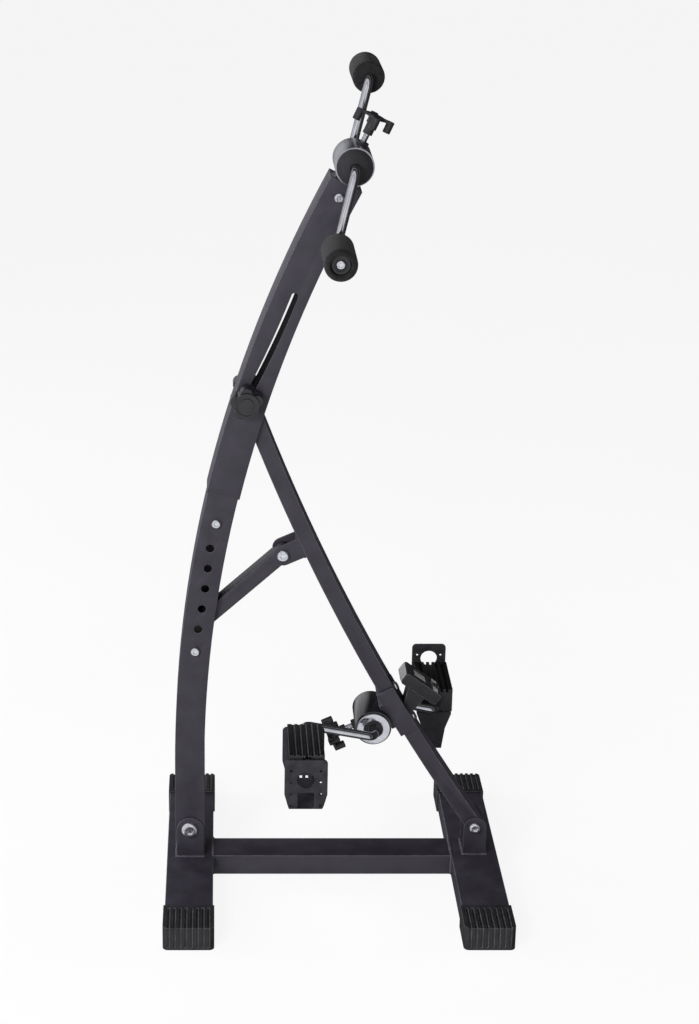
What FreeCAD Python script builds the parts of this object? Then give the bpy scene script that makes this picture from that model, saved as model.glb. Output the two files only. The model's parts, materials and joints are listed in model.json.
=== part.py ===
import FreeCAD, Part
import os
import re
import Sketcher

# Driving sizes of the arm and leg pedal exerciser, in millimetres and degrees.
# X runs from the left foot to the right foot, Y away from the viewer and Z up.
SIZES = {
    "overrun": 1,
    "seat_gap": 0.1,
    "running_gap": 0.05,
    "side_gap": 0.3,
    # Base
    "foot_spacing": 402,
    "foot_length": 420,
    "foot_wide": 65,
    "foot_tall": 30,
    "foot_wall": 2,
    "rail_deep": 48,
    "cap_wall": 2,
    "cap_end": 5,
    "cap_length": 56,
    "cap_corner": 7,
    "cap_groove_wide": 3.4,
    "cap_groove_deep": 1.3,
    "cap_groove_count": 8,
    "pivot_height": 74,
    "bracket_plate": 3,
    "left_bracket_wide": 38,
    "right_bracket_wide": 32,
    "pivot_bolt_radius": 5,
    "left_head_radius": 12,
    "right_head_radius": 8.5,
    "pivot_head_tall": 4,
    "pivot_nut_radius": 9,
    "pivot_nut_tall": 8,
    "bush_wall": 2,
    # Mast
    "mast_thick": 41,
    "mast_deep": 46,
    "mast_wall": 1.8,
    "mast_foot_height": 52,
    "mast_bend_height": 172,
    "mast_bow": 1790,
    "sleeve_gap": 0.3,
    "sleeve_wall": 1.7,
    "lower_tube_along": 450,
    "upper_tube_from": 408,
    "upper_tube_to": 860,
    "strut_window_from": 465,
    "strut_window_to": 733,
    "strut_window_wide": 37,
    "brace_window_below": 8,
    "brace_window_above": 48,
    "brace_window_wide": 28,
    "low_hole_along": 210.5,
    "hole_radius": 5.65,
    "hole_steps": 4,
    "low_stop_along": 177,
    "high_stop_along": 367,
    "top_bolt_along": 840,
    "small_bolt_radius": 4,
    "small_head_radius": 7,
    "small_head_tall": 4,
    "small_nut_tall": 6,
    "stem_long": 48,
    "stem_rise": 7,
    "stem_neck": 32,
    # Fold
    "clamp_along": 547.5,
    "clamp_shift": 6.4,
    "fold_tilt": 11.6,
    "slot_tilt": 15.3,
    "strut_ratio": 1.433,
    "brace_ratio": 0.2,
    # Strut
    "strut_bow": 2970,
    "strut_thick": 22,
    "strut_deep": 34,
    "strut_wall": 1.6,
    "clevis_down": 226.6,
    "clevis_reach": 38.6,
    "clevis_plate": 3,
    "clevis_radius": 14,
    "clevis_foot": 30,
    "clevis_head_radius": 9,
    "saddle_plate": 4,
    "saddle_long": 72,
    "saddle_pad_long": 40,
    "saddle_pad_thick": 5,
    "saddle_bolt_spacing": 52,
    "clamp_bush_long": 45,
    "clamp_bush_radius": 7,
    # Brace
    "brace_thick": 20,
    "brace_deep": 26,
    "guide_deep": 40,
    "guide_radius": 13,
    "pin_play": 0.15,
    "pin_long": 12,
    # Hubs
    "shell_radius": 25,
    "shell_wall": 5,
    "shell_deep": 64,
    "upper_hub_shift": 2.5,
    "hub_down": 503.3,
    "ring_radius": 23.2,
    "ring_tall": 4,
    "dust_cap_radius": 12.8,
    "bearing_deep": 10,
    "bearing_inset": 2,
    "axle_gap": 0.5,
    "hub_dome": 6,
    "pad_radius": 5,
    "pad_top": 24,
    "boss_radius": 8,
    "boss_top": 29,
    "tension_radius": 4,
    "upper_boss_angle": 24.5,
    "lower_boss_angle": -115,
    # Tension knobs
    "knob_reach": 21,
    "knob_lobe": 5,
    "knob_lobes": 4,
    "knob_sleeve_radius": 6.5,
    "knob_sleeve_from": 40,
    "knob_legs_from": 51,
    "knob_plate_from": 62.5,
    "knob_top": 66,
    "knob_arm_wide": 9,
    "knob_core_radius": 13,
    # Clamp
    "clamp_bolt_radius": 4,
    "slot_play": 0.5,
    "washer_radius": 16,
    "washer_tall": 3,
    "clamp_knob_radius": 22,
    "clamp_knob_lobe": 8,
    "clamp_knob_lobes": 5,
    "clamp_knob_tall": 22,
    "clamp_knob_ring": 16.5,
    "clamp_knob_ring_tall": 4,
    "clamp_knob_rim": 2.5,
    "clamp_knob_dish_deep": 2,
    "clamp_knob_button": 9.5,
    "far_knob_radius": 18,
    "far_knob_tall": 20,
    # Cranks
    "rod_radius": 6,
    "rod_bend": 9.5,
    "crank_arm": 98.5,
    "arm_plane": 58,
    "upper_crank_angle": 103.1,
    "lower_crank_angle": 190.6,
    "grip_radius": 21,
    "grip_inner": 70,
    "grip_outer": 158,
    "grip_recess_radius": 13,
    "grip_recess": 10,
    "screw_head_radius": 7,
    "screw_head_tall": 4,
    "screw_radius": 3,
    "screw_long": 14,
    # Pedals
    "pedal_wide": 47,
    "pedal_inner": 71,
    "pedal_outer": 160,
    "pedal_above": 8.8,
    "pedal_below": 26,
    "pedal_recess": 10,
    "pedal_recess_radius": 7.3,
    "tread_count": 5,
    "tread_groove": 3.5,
    "tread_deep": 1.1,
    "sole_deep": 5,
    # Straps
    "strap_thick": 3,
    "strap_rise": 3,
    "strap_drop": 75,
    "strap_wide": 57,
    "strap_low_wide": 42,
    "strap_shift": -1,
    "strap_shoulder": 47.5,
    "strap_corner": 14,
    "strap_round": 6,
    "strap_hole_radius": 12,
    "strap_hole_drop": 26.5,
    "strap_slot_wide": 22,
    "strap_slot_tall": 27,
    "strap_dot_radius": 1.8,
    "strap_dot_count": 4,
    "strap_dot_drop": 13,
    "strap_dot_pitch": 17.2,
    "strap_dot_apart": 39,
    "tongue_rise": 54,
    "tongue_wide": 49,
    "tongue_shift": 2.3,
    "tongue_hole_rise": 31.7,
    "tongue_dot_rise": 37,
    "tongue_dot_apart": 34,
    "tail_middle": 34,
    "tail_middle_wide": 33,
    "tail_drop": 66,
    "tail_end_wide": 24,
    # Counter
    "counter_down": 489.7,
    "counter_reach": 43,
    "counter_angle": 65.5,
    "counter_long": 60,
    "counter_deep": 40,
    "counter_tall": 17,
    "counter_corner": 4,
    "neck_below": 12.3,
    "neck_deep": 24,
    "neck_wide": 18,
    "neck_high_out": 21,
    "neck_high_up": 24.5,
    "neck_low_out": 34.7,
    "neck_low_down": 4.3,
    "window_long": 26,
    "window_deep": 26,
    "window_sink": 1,
    "window_shift": 7,
    "button_radius": 5,
    "button_shift": 19,
    "button_deep": 6,
    "button_proud": 2,
    "button_travel": 1.5,
}

# Places that follow from the sizes, each a formula that may use the ones above it.
PLACES = {
    "pivot_x": "foot_spacing / 2",
    "foot_top": "cap_wall + foot_tall",
    "mast_turn_x": "mast_bow - pivot_x",
    "sleeve_thick": "mast_thick + 2 * (sleeve_gap + sleeve_wall)",
    "sleeve_deep": "mast_deep + 2 * (sleeve_gap + sleeve_wall)",
    "mast_top_angle": "upper_tube_to / mast_bow * 1rad",
    "clamp_angle": "clamp_along / mast_bow * 1rad",
    "clamp_x": "mast_turn_x - (mast_bow + clamp_shift) * cos(clamp_angle)",
    "clamp_z": "mast_bend_height + (mast_bow + clamp_shift) * sin(clamp_angle)",
    "chord_x": "pivot_x - clamp_x",
    "chord_z": "clamp_z - pivot_height",
    "chord_long": "sqrt(chord_x * chord_x + chord_z * chord_z)",
    "chord_lean": "atan2(chord_x; chord_z)",
    "chord_half": "asin(chord_long / (2 * strut_bow))",
    "strut_turn_x": "(pivot_x + clamp_x) / 2 + strut_bow * cos(chord_half) * cos(chord_lean)",
    "strut_turn_z": "(pivot_height + clamp_z) / 2 + strut_bow * cos(chord_half) * sin(chord_lean)",
    "strut_high": "chord_lean - chord_half",
    "clevis_angle": "strut_high + clevis_down / strut_bow * 1rad",
    "clevis_x": "strut_turn_x - (strut_bow + clevis_reach) * cos(clevis_angle)",
    "clevis_z": "strut_turn_z - (strut_bow + clevis_reach) * sin(clevis_angle)",
    "hole_angle": "low_hole_along / mast_bow * 1rad",
    "bush_radius": "pivot_bolt_radius + running_gap + bush_wall",
    "hole_x": "mast_turn_x - mast_bow * cos(hole_angle)",
    "hole_z": "mast_bend_height + mast_bow * sin(hole_angle)",
    "brace_long": "sqrt((clevis_x - hole_x) * (clevis_x - hole_x)"
                  " + (clevis_z - hole_z) * (clevis_z - hole_z))",
    "brace_turn": "atan2(clevis_z - hole_z; hole_x - clevis_x)",
    "strut_fold": "fold_tilt * strut_ratio * 1deg",
    "brace_fold": "fold_tilt * (strut_ratio + brace_ratio) * 1deg",
    "fold_x": "foot_spacing + (clevis_x - pivot_x) * cos(strut_fold)"
              " + (clevis_z - pivot_height) * sin(strut_fold)"
              " + (hole_x - clevis_x) * cos(brace_fold) + (hole_z - clevis_z) * sin(brace_fold)",
    "fold_z": "(pivot_x - clevis_x) * sin(strut_fold) + (clevis_z - pivot_height) * cos(strut_fold)"
              " + (clevis_x - hole_x) * sin(brace_fold) + (hole_z - clevis_z) * cos(brace_fold)",
    "high_hole_z": "pivot_height + fold_x * sin(fold_tilt * 1deg) + fold_z * cos(fold_tilt * 1deg)",
    "high_hole_along": "mast_bow * asin((high_hole_z - mast_bend_height) / mast_bow) / 1rad",
    "strut_long": "strut_bow * 2 * chord_half / 1rad",
    "upper_hub_reach": "mast_bow + upper_hub_shift",
    "upper_hub_x": "mast_turn_x - upper_hub_reach * cos(mast_top_angle)"
                   " + shell_radius * sin(mast_top_angle)",
    "upper_hub_z": "mast_bend_height + upper_hub_reach * sin(mast_top_angle)"
                   " + shell_radius * cos(mast_top_angle)",
    "dome_radius": "(ring_radius * ring_radius + hub_dome * hub_dome) / (2 * hub_dome)",
    "hub_reach": "strut_thick / 2 + seat_gap + saddle_plate + shell_radius",
    "hub_angle": "strut_high + hub_down / strut_bow * 1rad",
    "lower_hub_x": "strut_turn_x - (strut_bow + hub_reach) * cos(hub_angle)",
    "lower_hub_z": "strut_turn_z - (strut_bow + hub_reach) * sin(hub_angle)",
}

doc = FreeCAD.newDocument("pedal_exerciser")
nodes = []
OWNERS = {}


def link(text):
    """Point each size name in a formula at its sheet."""
    return re.sub(r"[a-z][a-z0-9_]*", lambda word: OWNERS.get(word[0], word[0]), text)


def fill_sheet(sheet, contents, lead=""):
    """Write numbers or formulas into a sheet, with their names as aliases."""
    for row, (alias, content) in enumerate(contents.items(), start=1):
        cell = "A%d" % row
        sheet.set(cell, lead + link(str(content)))
        sheet.setAlias(cell, alias)
        OWNERS[alias] = sheet.Name + "." + alias
    doc.recompute()


sizes = doc.addObject("Spreadsheet::Sheet", "Sizes")
fill_sheet(sizes, SIZES)
places = doc.addObject("Spreadsheet::Sheet", "Places")
fill_sheet(places, PLACES, "=")


def value(text):
    """Work out a formula as a plain number."""
    return float(sizes.evalExpression(link(text)))


def bind(item, **formulas):
    """Bind properties of an object to formulas."""
    for name, text in formulas.items():
        item.setExpression(name, link(text))
    return item


# Places as texts. Each turn is about the Y axis and takes up towards the right.
def at(x, y, z, turn="0deg"):
    return f"placement(vector({x}; {y}; {z}); rotation(vector(0; 1; 0); {turn}))"


def lift(z):
    return at("0", "0", z)


def spin(turn):
    return f"placement(vector(0; 0; 0); rotation(vector(0; 0; 1); {turn}))"


HERE = at("0", "0", "0")
TO_NEAR = "placement(vector(0; 0; 0); rotation(vector(1; 0; 0); 90deg))"
TO_FAR = "placement(vector(0; 0; 0); rotation(vector(1; 0; 0); -90deg))"
TO_RIGHT = "placement(vector(0; 0; 0); rotation(vector(0; 1; 0); 90deg))"


def on_mast(along, out="0", depth="0"):
    """A place on the curved mast: along from its bend, out to the right of its centre line."""
    return at("mast_turn_x", "0", "mast_bend_height", f"({along}) / mast_bow * 1rad") + " * " + at(
        f"{out} - mast_bow", depth, "0")


def on_strut(down, out="0", depth="0"):
    """A place on the curved strut: down from the clamp, out to the right of its centre line."""
    return at("strut_turn_x", "0", "strut_turn_z", f"-strut_high - ({down}) / strut_bow * 1rad") + " * " + at(
        f"{out} - strut_bow", depth, "0")


def on_brace(along):
    """A place on the brace, along from its clevis pin to the adjusting hole."""
    return at("clevis_x", "0", "clevis_z", "brace_turn") + " * " + at(along, "0", "0")


def strut_after(tilt):
    """How the strut has moved, as the mast sees it, once the mast has tilted."""
    return at("-pivot_x", "0", "pivot_height", f"-({tilt}) * 1deg") + " * " + at(
        "foot_spacing", "0", "0", f"({tilt}) * strut_ratio * 1deg")


LEFT_PIVOT = at("-pivot_x", "0", "pivot_height")
RIGHT_PIVOT = at("pivot_x", "0", "pivot_height")
CLAMP = on_strut("0")
CLEVIS = on_brace("0")
UPPER_HUB = at("upper_hub_x", "0", "upper_hub_z")
LOWER_HUB = at("lower_hub_x", "0", "lower_hub_z")
UPPER_BOSS = at("upper_hub_x", "0", "upper_hub_z", "upper_boss_angle * 1deg")
LOWER_BOSS = at("lower_hub_x", "0", "lower_hub_z", "lower_boss_angle * 1deg")
UPPER_CRANK = at("upper_hub_x", "0", "upper_hub_z", "upper_crank_angle * 1deg")
LOWER_CRANK = at("lower_hub_x", "0", "lower_hub_z", "lower_crank_angle * 1deg")
SIDES = {"near": "-1", "far": "1"}
CRANK_ENDS = (("near", "-1", "crank_arm"), ("far", "1", "-crank_arm"))
# The far pedal hangs the other way up.
PEDAL_TURNS = {"near": "0deg", "far": "180deg"}
# How much of an edge's length lies along an axis that it is said to follow.
MOST_SHARE = 0.99


# Shapes shared by the sub-parts
def block(name, wide, deep, tall, place=HERE):
    """A box centred on its place."""
    item = doc.addObject("Part::Box", name)
    corner = at(f"-({wide}) / 2", f"-({deep}) / 2", f"-({tall}) / 2")
    return bind(item, Length=wide, Width=deep, Height=tall, Placement=f"{place} * {corner}")


def rod(name, radius, start, end, place=HERE):
    """A cylinder along Y from start to end."""
    item = doc.addObject("Part::Cylinder", name)
    return bind(item, Radius=radius, Height=f"({end}) - ({start})",
                Placement=f"{place} * {at('0', start, '0')} * {TO_FAR}")


def post(name, radius, low, high, place=HERE):
    """A cylinder along Z from low to high."""
    item = doc.addObject("Part::Cylinder", name)
    return bind(item, Radius=radius, Height=f"({high}) - ({low})", Placement=f"{place} * {lift(low)}")


def bar(name, radius, start, end, place=HERE):
    """A cylinder along X from start to end."""
    item = doc.addObject("Part::Cylinder", name)
    return bind(item, Radius=radius, Height=f"({end}) - ({start})",
                Placement=f"{place} * {at(start, '0', '0')} * {TO_RIGHT}")


def fuse(name, *parts):
    item = doc.addObject("Part::MultiFuse", name)
    item.Shapes = list(parts)
    item.Refine = True
    return item


def cut(name, base, *tools):
    item = doc.addObject("Part::Cut", name)
    item.Base = base
    item.Tool = tools[0] if len(tools) == 1 else fuse(name + "_tools", *tools)
    return item


def common(name, first, second):
    item = doc.addObject("Part::Common", name)
    item.Base = first
    item.Tool = second
    return item


def group(name, *parts):
    """Equal pieces that share one file, as separate solids."""
    item = doc.addObject("Part::Compound", name)
    item.Links = list(parts)
    return item


def keep(name, item):
    """Count a finished sub-part and label it."""
    item.Label = name
    nodes.append(item)
    return item


def band(name, middle, thick, deep, start, end, centre):
    """A bar bent in the XZ plane round a centre, between two turns from straight left."""
    outer = doc.addObject("Part::Cylinder", name + "_outer")
    bind(outer, Radius=f"{middle} + ({thick}) / 2", Height=deep, Angle=f"({end}) - ({start})",
         Placement=f"{centre} * {at('0', f'-({deep}) / 2', '0', f'180deg + ({start})')} * {TO_FAR}")
    inner = rod(name + "_inner", f"{middle} - ({thick}) / 2", f"-({deep}) / 2 - overrun",
                f"({deep}) / 2 + overrun", centre)
    return cut(name, outer, inner)


def mast_band(name, thick, deep, start, end, out="0"):
    """A bent bar along the mast, between two distances from its bend."""
    return band(name, f"mast_bow - ({out})", thick, deep, f"({start}) / mast_bow * 1rad",
                f"({end}) / mast_bow * 1rad", at("mast_turn_x", "0", "mast_bend_height"))


def strut_band(name, thick, deep, low, high, out="0"):
    """A bent bar along the strut, between two distances down from the clamp."""
    return band(name, f"strut_bow - ({out})", thick, deep, f"-strut_high - ({low}) / strut_bow * 1rad",
                f"-strut_high - ({high}) / strut_bow * 1rad", at("strut_turn_x", "0", "strut_turn_z"))


def ring(name, outer, inner, start, end, place=HERE):
    """A sleeve along Y."""
    return cut(name, rod(name + "_body", outer, start, end, place),
               rod(name + "_bore", inner, f"{start} - overrun", f"{end} + overrun", place))


def slab(name, plane, corners, thick, place=HERE):
    """A body padded from an outline of straight edges, centred on its plane."""
    body = doc.addObject("PartDesign::Body", name)
    sketch = body.newObject("Sketcher::SketchObject", name + "_outline")
    origin_plane = [item for item in body.Origin.OriginFeatures if item.Role == plane][0]
    sketch.AttachmentSupport = [(origin_plane, "")]
    sketch.MapMode = "FlatFace"
    spots = [FreeCAD.Vector(value(across), value(along), 0) for across, along in corners]
    for number, spot in enumerate(spots):
        sketch.addGeometry(Part.LineSegment(spot, spots[(number + 1) % len(spots)]), False)
    for number in range(len(spots)):
        sketch.addConstraint(Sketcher.Constraint("Coincident", number, 2, (number + 1) % len(spots), 1))
    for number, corner in enumerate(corners):
        for direction, text in zip(("DistanceX", "DistanceY"), corner):
            constraint = sketch.addConstraint(Sketcher.Constraint(direction, -1, 1, number, 1, value(text)))
            sketch.setExpression("Constraints[%d]" % constraint, link(text))
    pad = body.newObject("PartDesign::Pad", name + "_pad")
    pad.Profile = sketch
    pad.Midplane = True
    bind(pad, Length=thick)
    bind(body, Placement=place)
    doc.recompute()
    return body


def round_edges(body, pick, radius):
    """Round the edges of a body that pick chooses."""
    last = body.Tip
    names = ["Edge%d" % (number + 1) for number, edge in enumerate(last.Shape.Edges) if pick(edge)]
    rounding = body.newObject("PartDesign::Fillet", body.Name + "_round%d" % len(body.Group))
    rounding.Base = (last, names)
    bind(rounding, Radius=radius)
    doc.recompute()
    return body


def runs_along(edge, axis):
    """Say whether a straight edge runs along one axis, 0 for X, 1 for Y and 2 for Z."""
    reach = edge.Vertexes[-1].Point - edge.Vertexes[0].Point
    return abs(reach[axis]) > MOST_SHARE * reach.Length


def round_corners(body, radius, *corners):
    """Round the edges along X that pass through corners of a YZ outline."""
    def at_corner(edge):
        centre = edge.CenterOfMass
        spans = [max(abs(centre.y - value(across)), abs(centre.z - value(height)))
                 for across, height in corners]
        return runs_along(edge, 0) and min(spans) < value("overrun")

    return round_edges(body, at_corner, radius)


def round_top(body, height, radius):
    """Round the edges along Y at one height of an XZ outline."""
    def at_top(edge):
        return runs_along(edge, 1) and abs(edge.CenterOfMass.z - value(height)) < value("overrun")

    return round_edges(body, at_top, radius)


def lobed(name, reach, lobe, count, low, high, place):
    """A hand knob with round lobes, along Z from low to high."""
    core = post(name + "_core", f"{reach} - {lobe}", low, high, place)
    lobes = [post(f"{name}_lobe{number}", lobe, low, high,
                  f"{place} * {spin(f'360deg * {number} / {count}')}"
                  f" * {at(f'{reach} - {lobe}', '0', '0')}")
             for number in range(int(value(count)))]
    return fuse(name, core, *lobes)


# Base
def foot_tube(side, sign):
    place = at(f"{sign} * pivot_x", "0", "cap_wall + foot_tall / 2")
    outer = block(side + "_tube_outer", "foot_wide", "foot_length - 2 * cap_end", "foot_tall", place)
    inner = block(side + "_tube_inner", "foot_wide - 2 * foot_wall", "foot_length + overrun",
                  "foot_tall - 2 * foot_wall", place)
    keep(side + "_foot_tube", cut(side + "_foot_tube", outer, inner))


def cross_rail():
    place = at("0", "0", "cap_wall + foot_tall / 2")
    outer = block("rail_outer", "foot_spacing - foot_wide", "rail_deep", "foot_tall", place)
    inner = block("rail_inner", "foot_spacing", "rail_deep - 2 * foot_wall", "foot_tall - 2 * foot_wall",
                  place)
    keep("cross_rail", cut("cross_rail", outer, inner))


def foot_cap(side, sign, end, end_sign):
    """A plastic end cap with grooves along its top and round its end."""
    name = f"{side}_{end}_cap"
    tall = "(foot_tall + 2 * cap_wall)"
    wide = "(foot_wide + 2 * cap_wall)"
    outer_y = f"{end_sign} * foot_length / 2"
    inner_y = f"{end_sign} * (foot_length / 2 - cap_length)"
    half = f"{wide} / 2"
    corners = [(f"-{half}", inner_y), (half, inner_y), (half, outer_y), (f"-{half}", outer_y)]
    place = at(f"{sign} * pivot_x", "0", f"{tall} / 2")
    body = slab(name + "_body", "XY_Plane", corners, tall, place)

    def at_end(edge):
        return runs_along(edge, 2) and abs(edge.CenterOfMass.y - value(outer_y)) < value("overrun")

    round_edges(body, at_end, "cap_corner")
    hollow = block(name + "_hollow", "foot_wide", "foot_length - 2 * cap_end", "foot_tall", place)
    count = int(value("cap_groove_count"))
    tools = [hollow]
    for number in range(count):
        across = f"{wide} * ({number + 1} / (cap_groove_count + 1) - 1 / 2)"
        spot = f"{place} * {at(across, outer_y, '0')}"
        top = f"{spot} * {at('0', f'-{end_sign} * (cap_length - cap_corner) / 2', f'{tall} / 2')}"
        tools.append(block(f"{name}_groove{number}", "cap_groove_wide", "cap_length - cap_corner",
                           "2 * cap_groove_deep", top))
        tools.append(block(f"{name}_end_groove{number}", "cap_groove_wide", "2 * cap_groove_deep", tall,
                           f"{spot} * {lift('3 * cap_groove_deep')}"))
    keep(name, cut(name, body, *tools))


def pivot_bracket(side, pivot, wide, held):
    """A U of plate on the foot, rounded about its bolt, round a tube of the held depth."""
    name = side + "_bracket"
    gap = f"({held} + 2 * side_gap)"
    deep = f"({gap} + 2 * bracket_plate)"
    reach = "(pivot_height - foot_top)"
    body = fuse(name + "_body",
                block(name + "_plates", wide, deep, reach, f"{pivot} * {lift(f'-{reach} / 2')}"),
                rod(name + "_round", f"{wide} / 2", f"-{deep} / 2", f"{deep} / 2", pivot))
    channel = block(name + "_channel", f"2 * {wide}", gap, f"2 * ({reach} - bracket_plate)", pivot)
    hole = rod(name + "_hole", "pivot_bolt_radius + seat_gap", f"-{deep}", deep, pivot)
    keep(name, cut(name, body, channel, hole))


def bolt(name, place, radius, head, head_tall, start, end):
    """A bolt along Y with its head on the near side at start."""
    return fuse(name, rod(name + "_shank", radius, start, end, place),
                rod(name + "_head", head, f"{start} - {head_tall}", start, place))


def nut(name, place, radius, corner, tall, start):
    """A hexagon nut along Y on a bolt of the given radius."""
    body = doc.addObject("Part::Prism", name + "_body")
    body.Polygon = 6
    bind(body, Circumradius=corner, Height=tall, Placement=f"{place} * {at('0', start, '0')} * {TO_FAR}")
    return cut(name, body, rod(name + "_bore", f"{radius} + seat_gap", f"{start} - overrun",
                               f"{start} + {tall} + overrun", place))


def pivot_fasteners():
    bolts = []
    nuts = []
    for side, place, held, head in (("left", LEFT_PIVOT, "mast_deep", "left_head_radius"),
                                    ("right", RIGHT_PIVOT, "strut_deep", "right_head_radius")):
        face = f"({held} / 2 + side_gap + bracket_plate)"
        bolts.append(bolt(side + "_bolt", place, "pivot_bolt_radius", head, "pivot_head_tall", f"-{face}",
                          f"{face} + pivot_nut_tall + overrun"))
        nuts.append(nut(side + "_nut", place, "pivot_bolt_radius", "pivot_nut_radius", "pivot_nut_tall",
                        face))
    keep("pivot_bolts", group("pivot_bolts", *bolts))
    keep("pivot_nuts", group("pivot_nuts", *nuts))


def base():
    for side, sign in (("left", "-1"), ("right", "1")):
        foot_tube(side, sign)
        for end, end_sign in SIDES.items():
            foot_cap(side, sign, end, end_sign)
    cross_rail()
    pivot_bracket("left", LEFT_PIVOT, "left_bracket_wide", "mast_deep")
    pivot_bracket("right", RIGHT_PIVOT, "right_bracket_wide", "strut_deep")
    pivot_fasteners()


# Mast
def adjusting_holes():
    """Bores where the brace pin comes to lie at each step of the fold."""
    holes = []
    for number in range(int(value("hole_steps")) + 1):
        tilt = f"fold_tilt * {number} / hole_steps"
        place = " * ".join((strut_after(tilt),
                            at("clevis_x - pivot_x", "0", "clevis_z - pivot_height",
                               f"({tilt}) * brace_ratio * 1deg"),
                            at("hole_x - clevis_x", "0", "hole_z - clevis_z")))
        holes.append(rod(f"adjusting_hole{number}", "hole_radius", "-mast_deep", "mast_deep", place))
    return holes


def lower_tube():
    straight = "(mast_bend_height - mast_foot_height)"
    place = at("-pivot_x", "0", f"mast_bend_height - {straight} / 2")
    inner_thick = "mast_thick - 2 * mast_wall"
    inner_deep = "mast_deep - 2 * mast_wall"
    outer = fuse("lower_tube_outer",
                 block("lower_tube_straight", "mast_thick", "mast_deep", straight, place),
                 mast_band("lower_tube_bend", "mast_thick", "mast_deep", "0", "lower_tube_along"))
    inner = fuse("lower_tube_inner",
                 block("lower_bore_straight", inner_thick, inner_deep, straight, place),
                 block("lower_bore_mouth", inner_thick, inner_deep, "mast_foot_height",
                       at("-pivot_x", "0", "mast_foot_height")),
                 mast_band("lower_bore_bend", inner_thick, inner_deep, "0", "lower_tube_along + overrun"))
    window = mast_band("brace_window", "4 * mast_wall", "brace_window_wide",
                       "low_hole_along - brace_window_below", "high_hole_along + brace_window_above",
                       "mast_thick / 2")
    tools = [inner, window, rod("bush_hole", "bush_radius + seat_gap", "-mast_deep", "mast_deep", LEFT_PIVOT)]
    tools += adjusting_holes()
    for name, along in (("low_stop_hole", "low_stop_along"), ("high_stop_hole", "high_stop_along")):
        tools.append(rod(name, "small_bolt_radius + seat_gap", "-mast_deep", "mast_deep", on_mast(along)))
    keep("mast_lower_tube", cut("mast_lower_tube", outer, *tools))


def spot_of(text):
    """Work out a place and give its position."""
    return sizes.evalExpression(link(text)).Base


def slot_cutter():
    """The curved slot that the clamp bolt runs in while the mast folds."""
    radius = value("clamp_bolt_radius + slot_play")
    deep = value("2 * sleeve_deep")
    bolt_spot = at("clamp_x - pivot_x", "0", "clamp_z - pivot_height")
    spots = [spot_of(f"{strut_after(f'slot_tilt * {share}')} * {bolt_spot}") for share in (0, 1 / 2, 1)]
    centre = Part.Arc(*spots).toShape().Curve.Center
    outward = [(spot - centre).normalize() * radius for spot in spots]
    outer = [spot + step for spot, step in zip(spots, outward)]
    inner = [spot - step for spot, step in zip(spots, outward)]
    ends = []
    for spot, step, way in ((spots[0], outward[0], spots[0] - spots[1]),
                            (spots[2], outward[2], spots[2] - spots[1])):
        along = FreeCAD.Vector(step.z, 0, -step.x)
        ends.append(spot + along if along.dot(way) > 0 else spot - along)
    edges = [Part.Arc(*outer), Part.Arc(outer[2], ends[1], inner[2]), Part.Arc(*reversed(inner)),
             Part.Arc(inner[0], ends[0], outer[0])]
    outline = Part.Face(Part.Wire([edge.toShape() for edge in edges]))
    outline.translate(FreeCAD.Vector(0, -deep / 2, 0))
    cutter = doc.addObject("Part::Feature", "slot_cutter")
    cutter.Shape = outline.extrude(FreeCAD.Vector(0, deep, 0))
    return cutter


def upper_tube():
    inner_thick = "(sleeve_thick - 2 * sleeve_wall)"
    inner_deep = "(sleeve_deep - 2 * sleeve_wall)"
    outer = mast_band("upper_tube_outer", "sleeve_thick", "sleeve_deep", "upper_tube_from", "upper_tube_to")
    inner = mast_band("upper_tube_inner", inner_thick, inner_deep, "upper_tube_from - overrun",
                      "upper_tube_to + overrun")
    window = mast_band("strut_window", "4 * sleeve_wall", "strut_window_wide", "strut_window_from",
                       "strut_window_to", "sleeve_thick / 2")
    bolt_hole = rod("top_bolt_hole", "small_bolt_radius + seat_gap", "-sleeve_deep", "sleeve_deep",
                    on_mast("top_bolt_along"))
    keep("mast_upper_tube", cut("mast_upper_tube", outer, inner, window, slot_cutter(), bolt_hole))


def mast_fasteners():
    keep("mast_pivot_bush", ring("mast_pivot_bush", "bush_radius", "pivot_bolt_radius + running_gap",
                                 "-mast_deep / 2", "mast_deep / 2", LEFT_PIVOT))
    bolts = []
    nuts = []
    for name, along, deep in (("low_stop", "low_stop_along", "mast_deep"),
                              ("high_stop", "high_stop_along", "mast_deep"),
                              ("top", "top_bolt_along", "sleeve_deep")):
        bolts.append(bolt(name + "_bolt", on_mast(along), "small_bolt_radius", "small_head_radius",
                          "small_head_tall", f"-{deep} / 2", f"{deep} / 2 + small_nut_tall + overrun"))
        nuts.append(nut(name + "_nut", on_mast(along), "small_bolt_radius", "small_head_radius",
                        "small_nut_tall", f"{deep} / 2"))
    keep("mast_bolts", group("mast_bolts", *bolts))
    keep("mast_nuts", group("mast_nuts", *nuts))


def hub_stem():
    """The plug that carries the upper hub, held in the mast by the top bolt."""
    low = "upper_tube_to - stem_long"
    plug = mast_band("stem_plug", "sleeve_thick - 2 * sleeve_wall - 2 * seat_gap",
                     "sleeve_deep - 2 * sleeve_wall - 2 * seat_gap", low, "upper_tube_to")
    neck = mast_band("stem_neck", "stem_neck", "stem_neck", low, "upper_tube_to + stem_rise")
    body = fuse("stem_body", plug, neck)
    cradle = rod("stem_cradle", "shell_radius", "-shell_deep", "shell_deep", UPPER_HUB)
    hole = rod("stem_hole", "small_bolt_radius + seat_gap", "-sleeve_deep", "sleeve_deep",
               on_mast("top_bolt_along"))
    keep("upper_hub_stem", cut("upper_hub_stem", body, cradle, hole))


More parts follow.
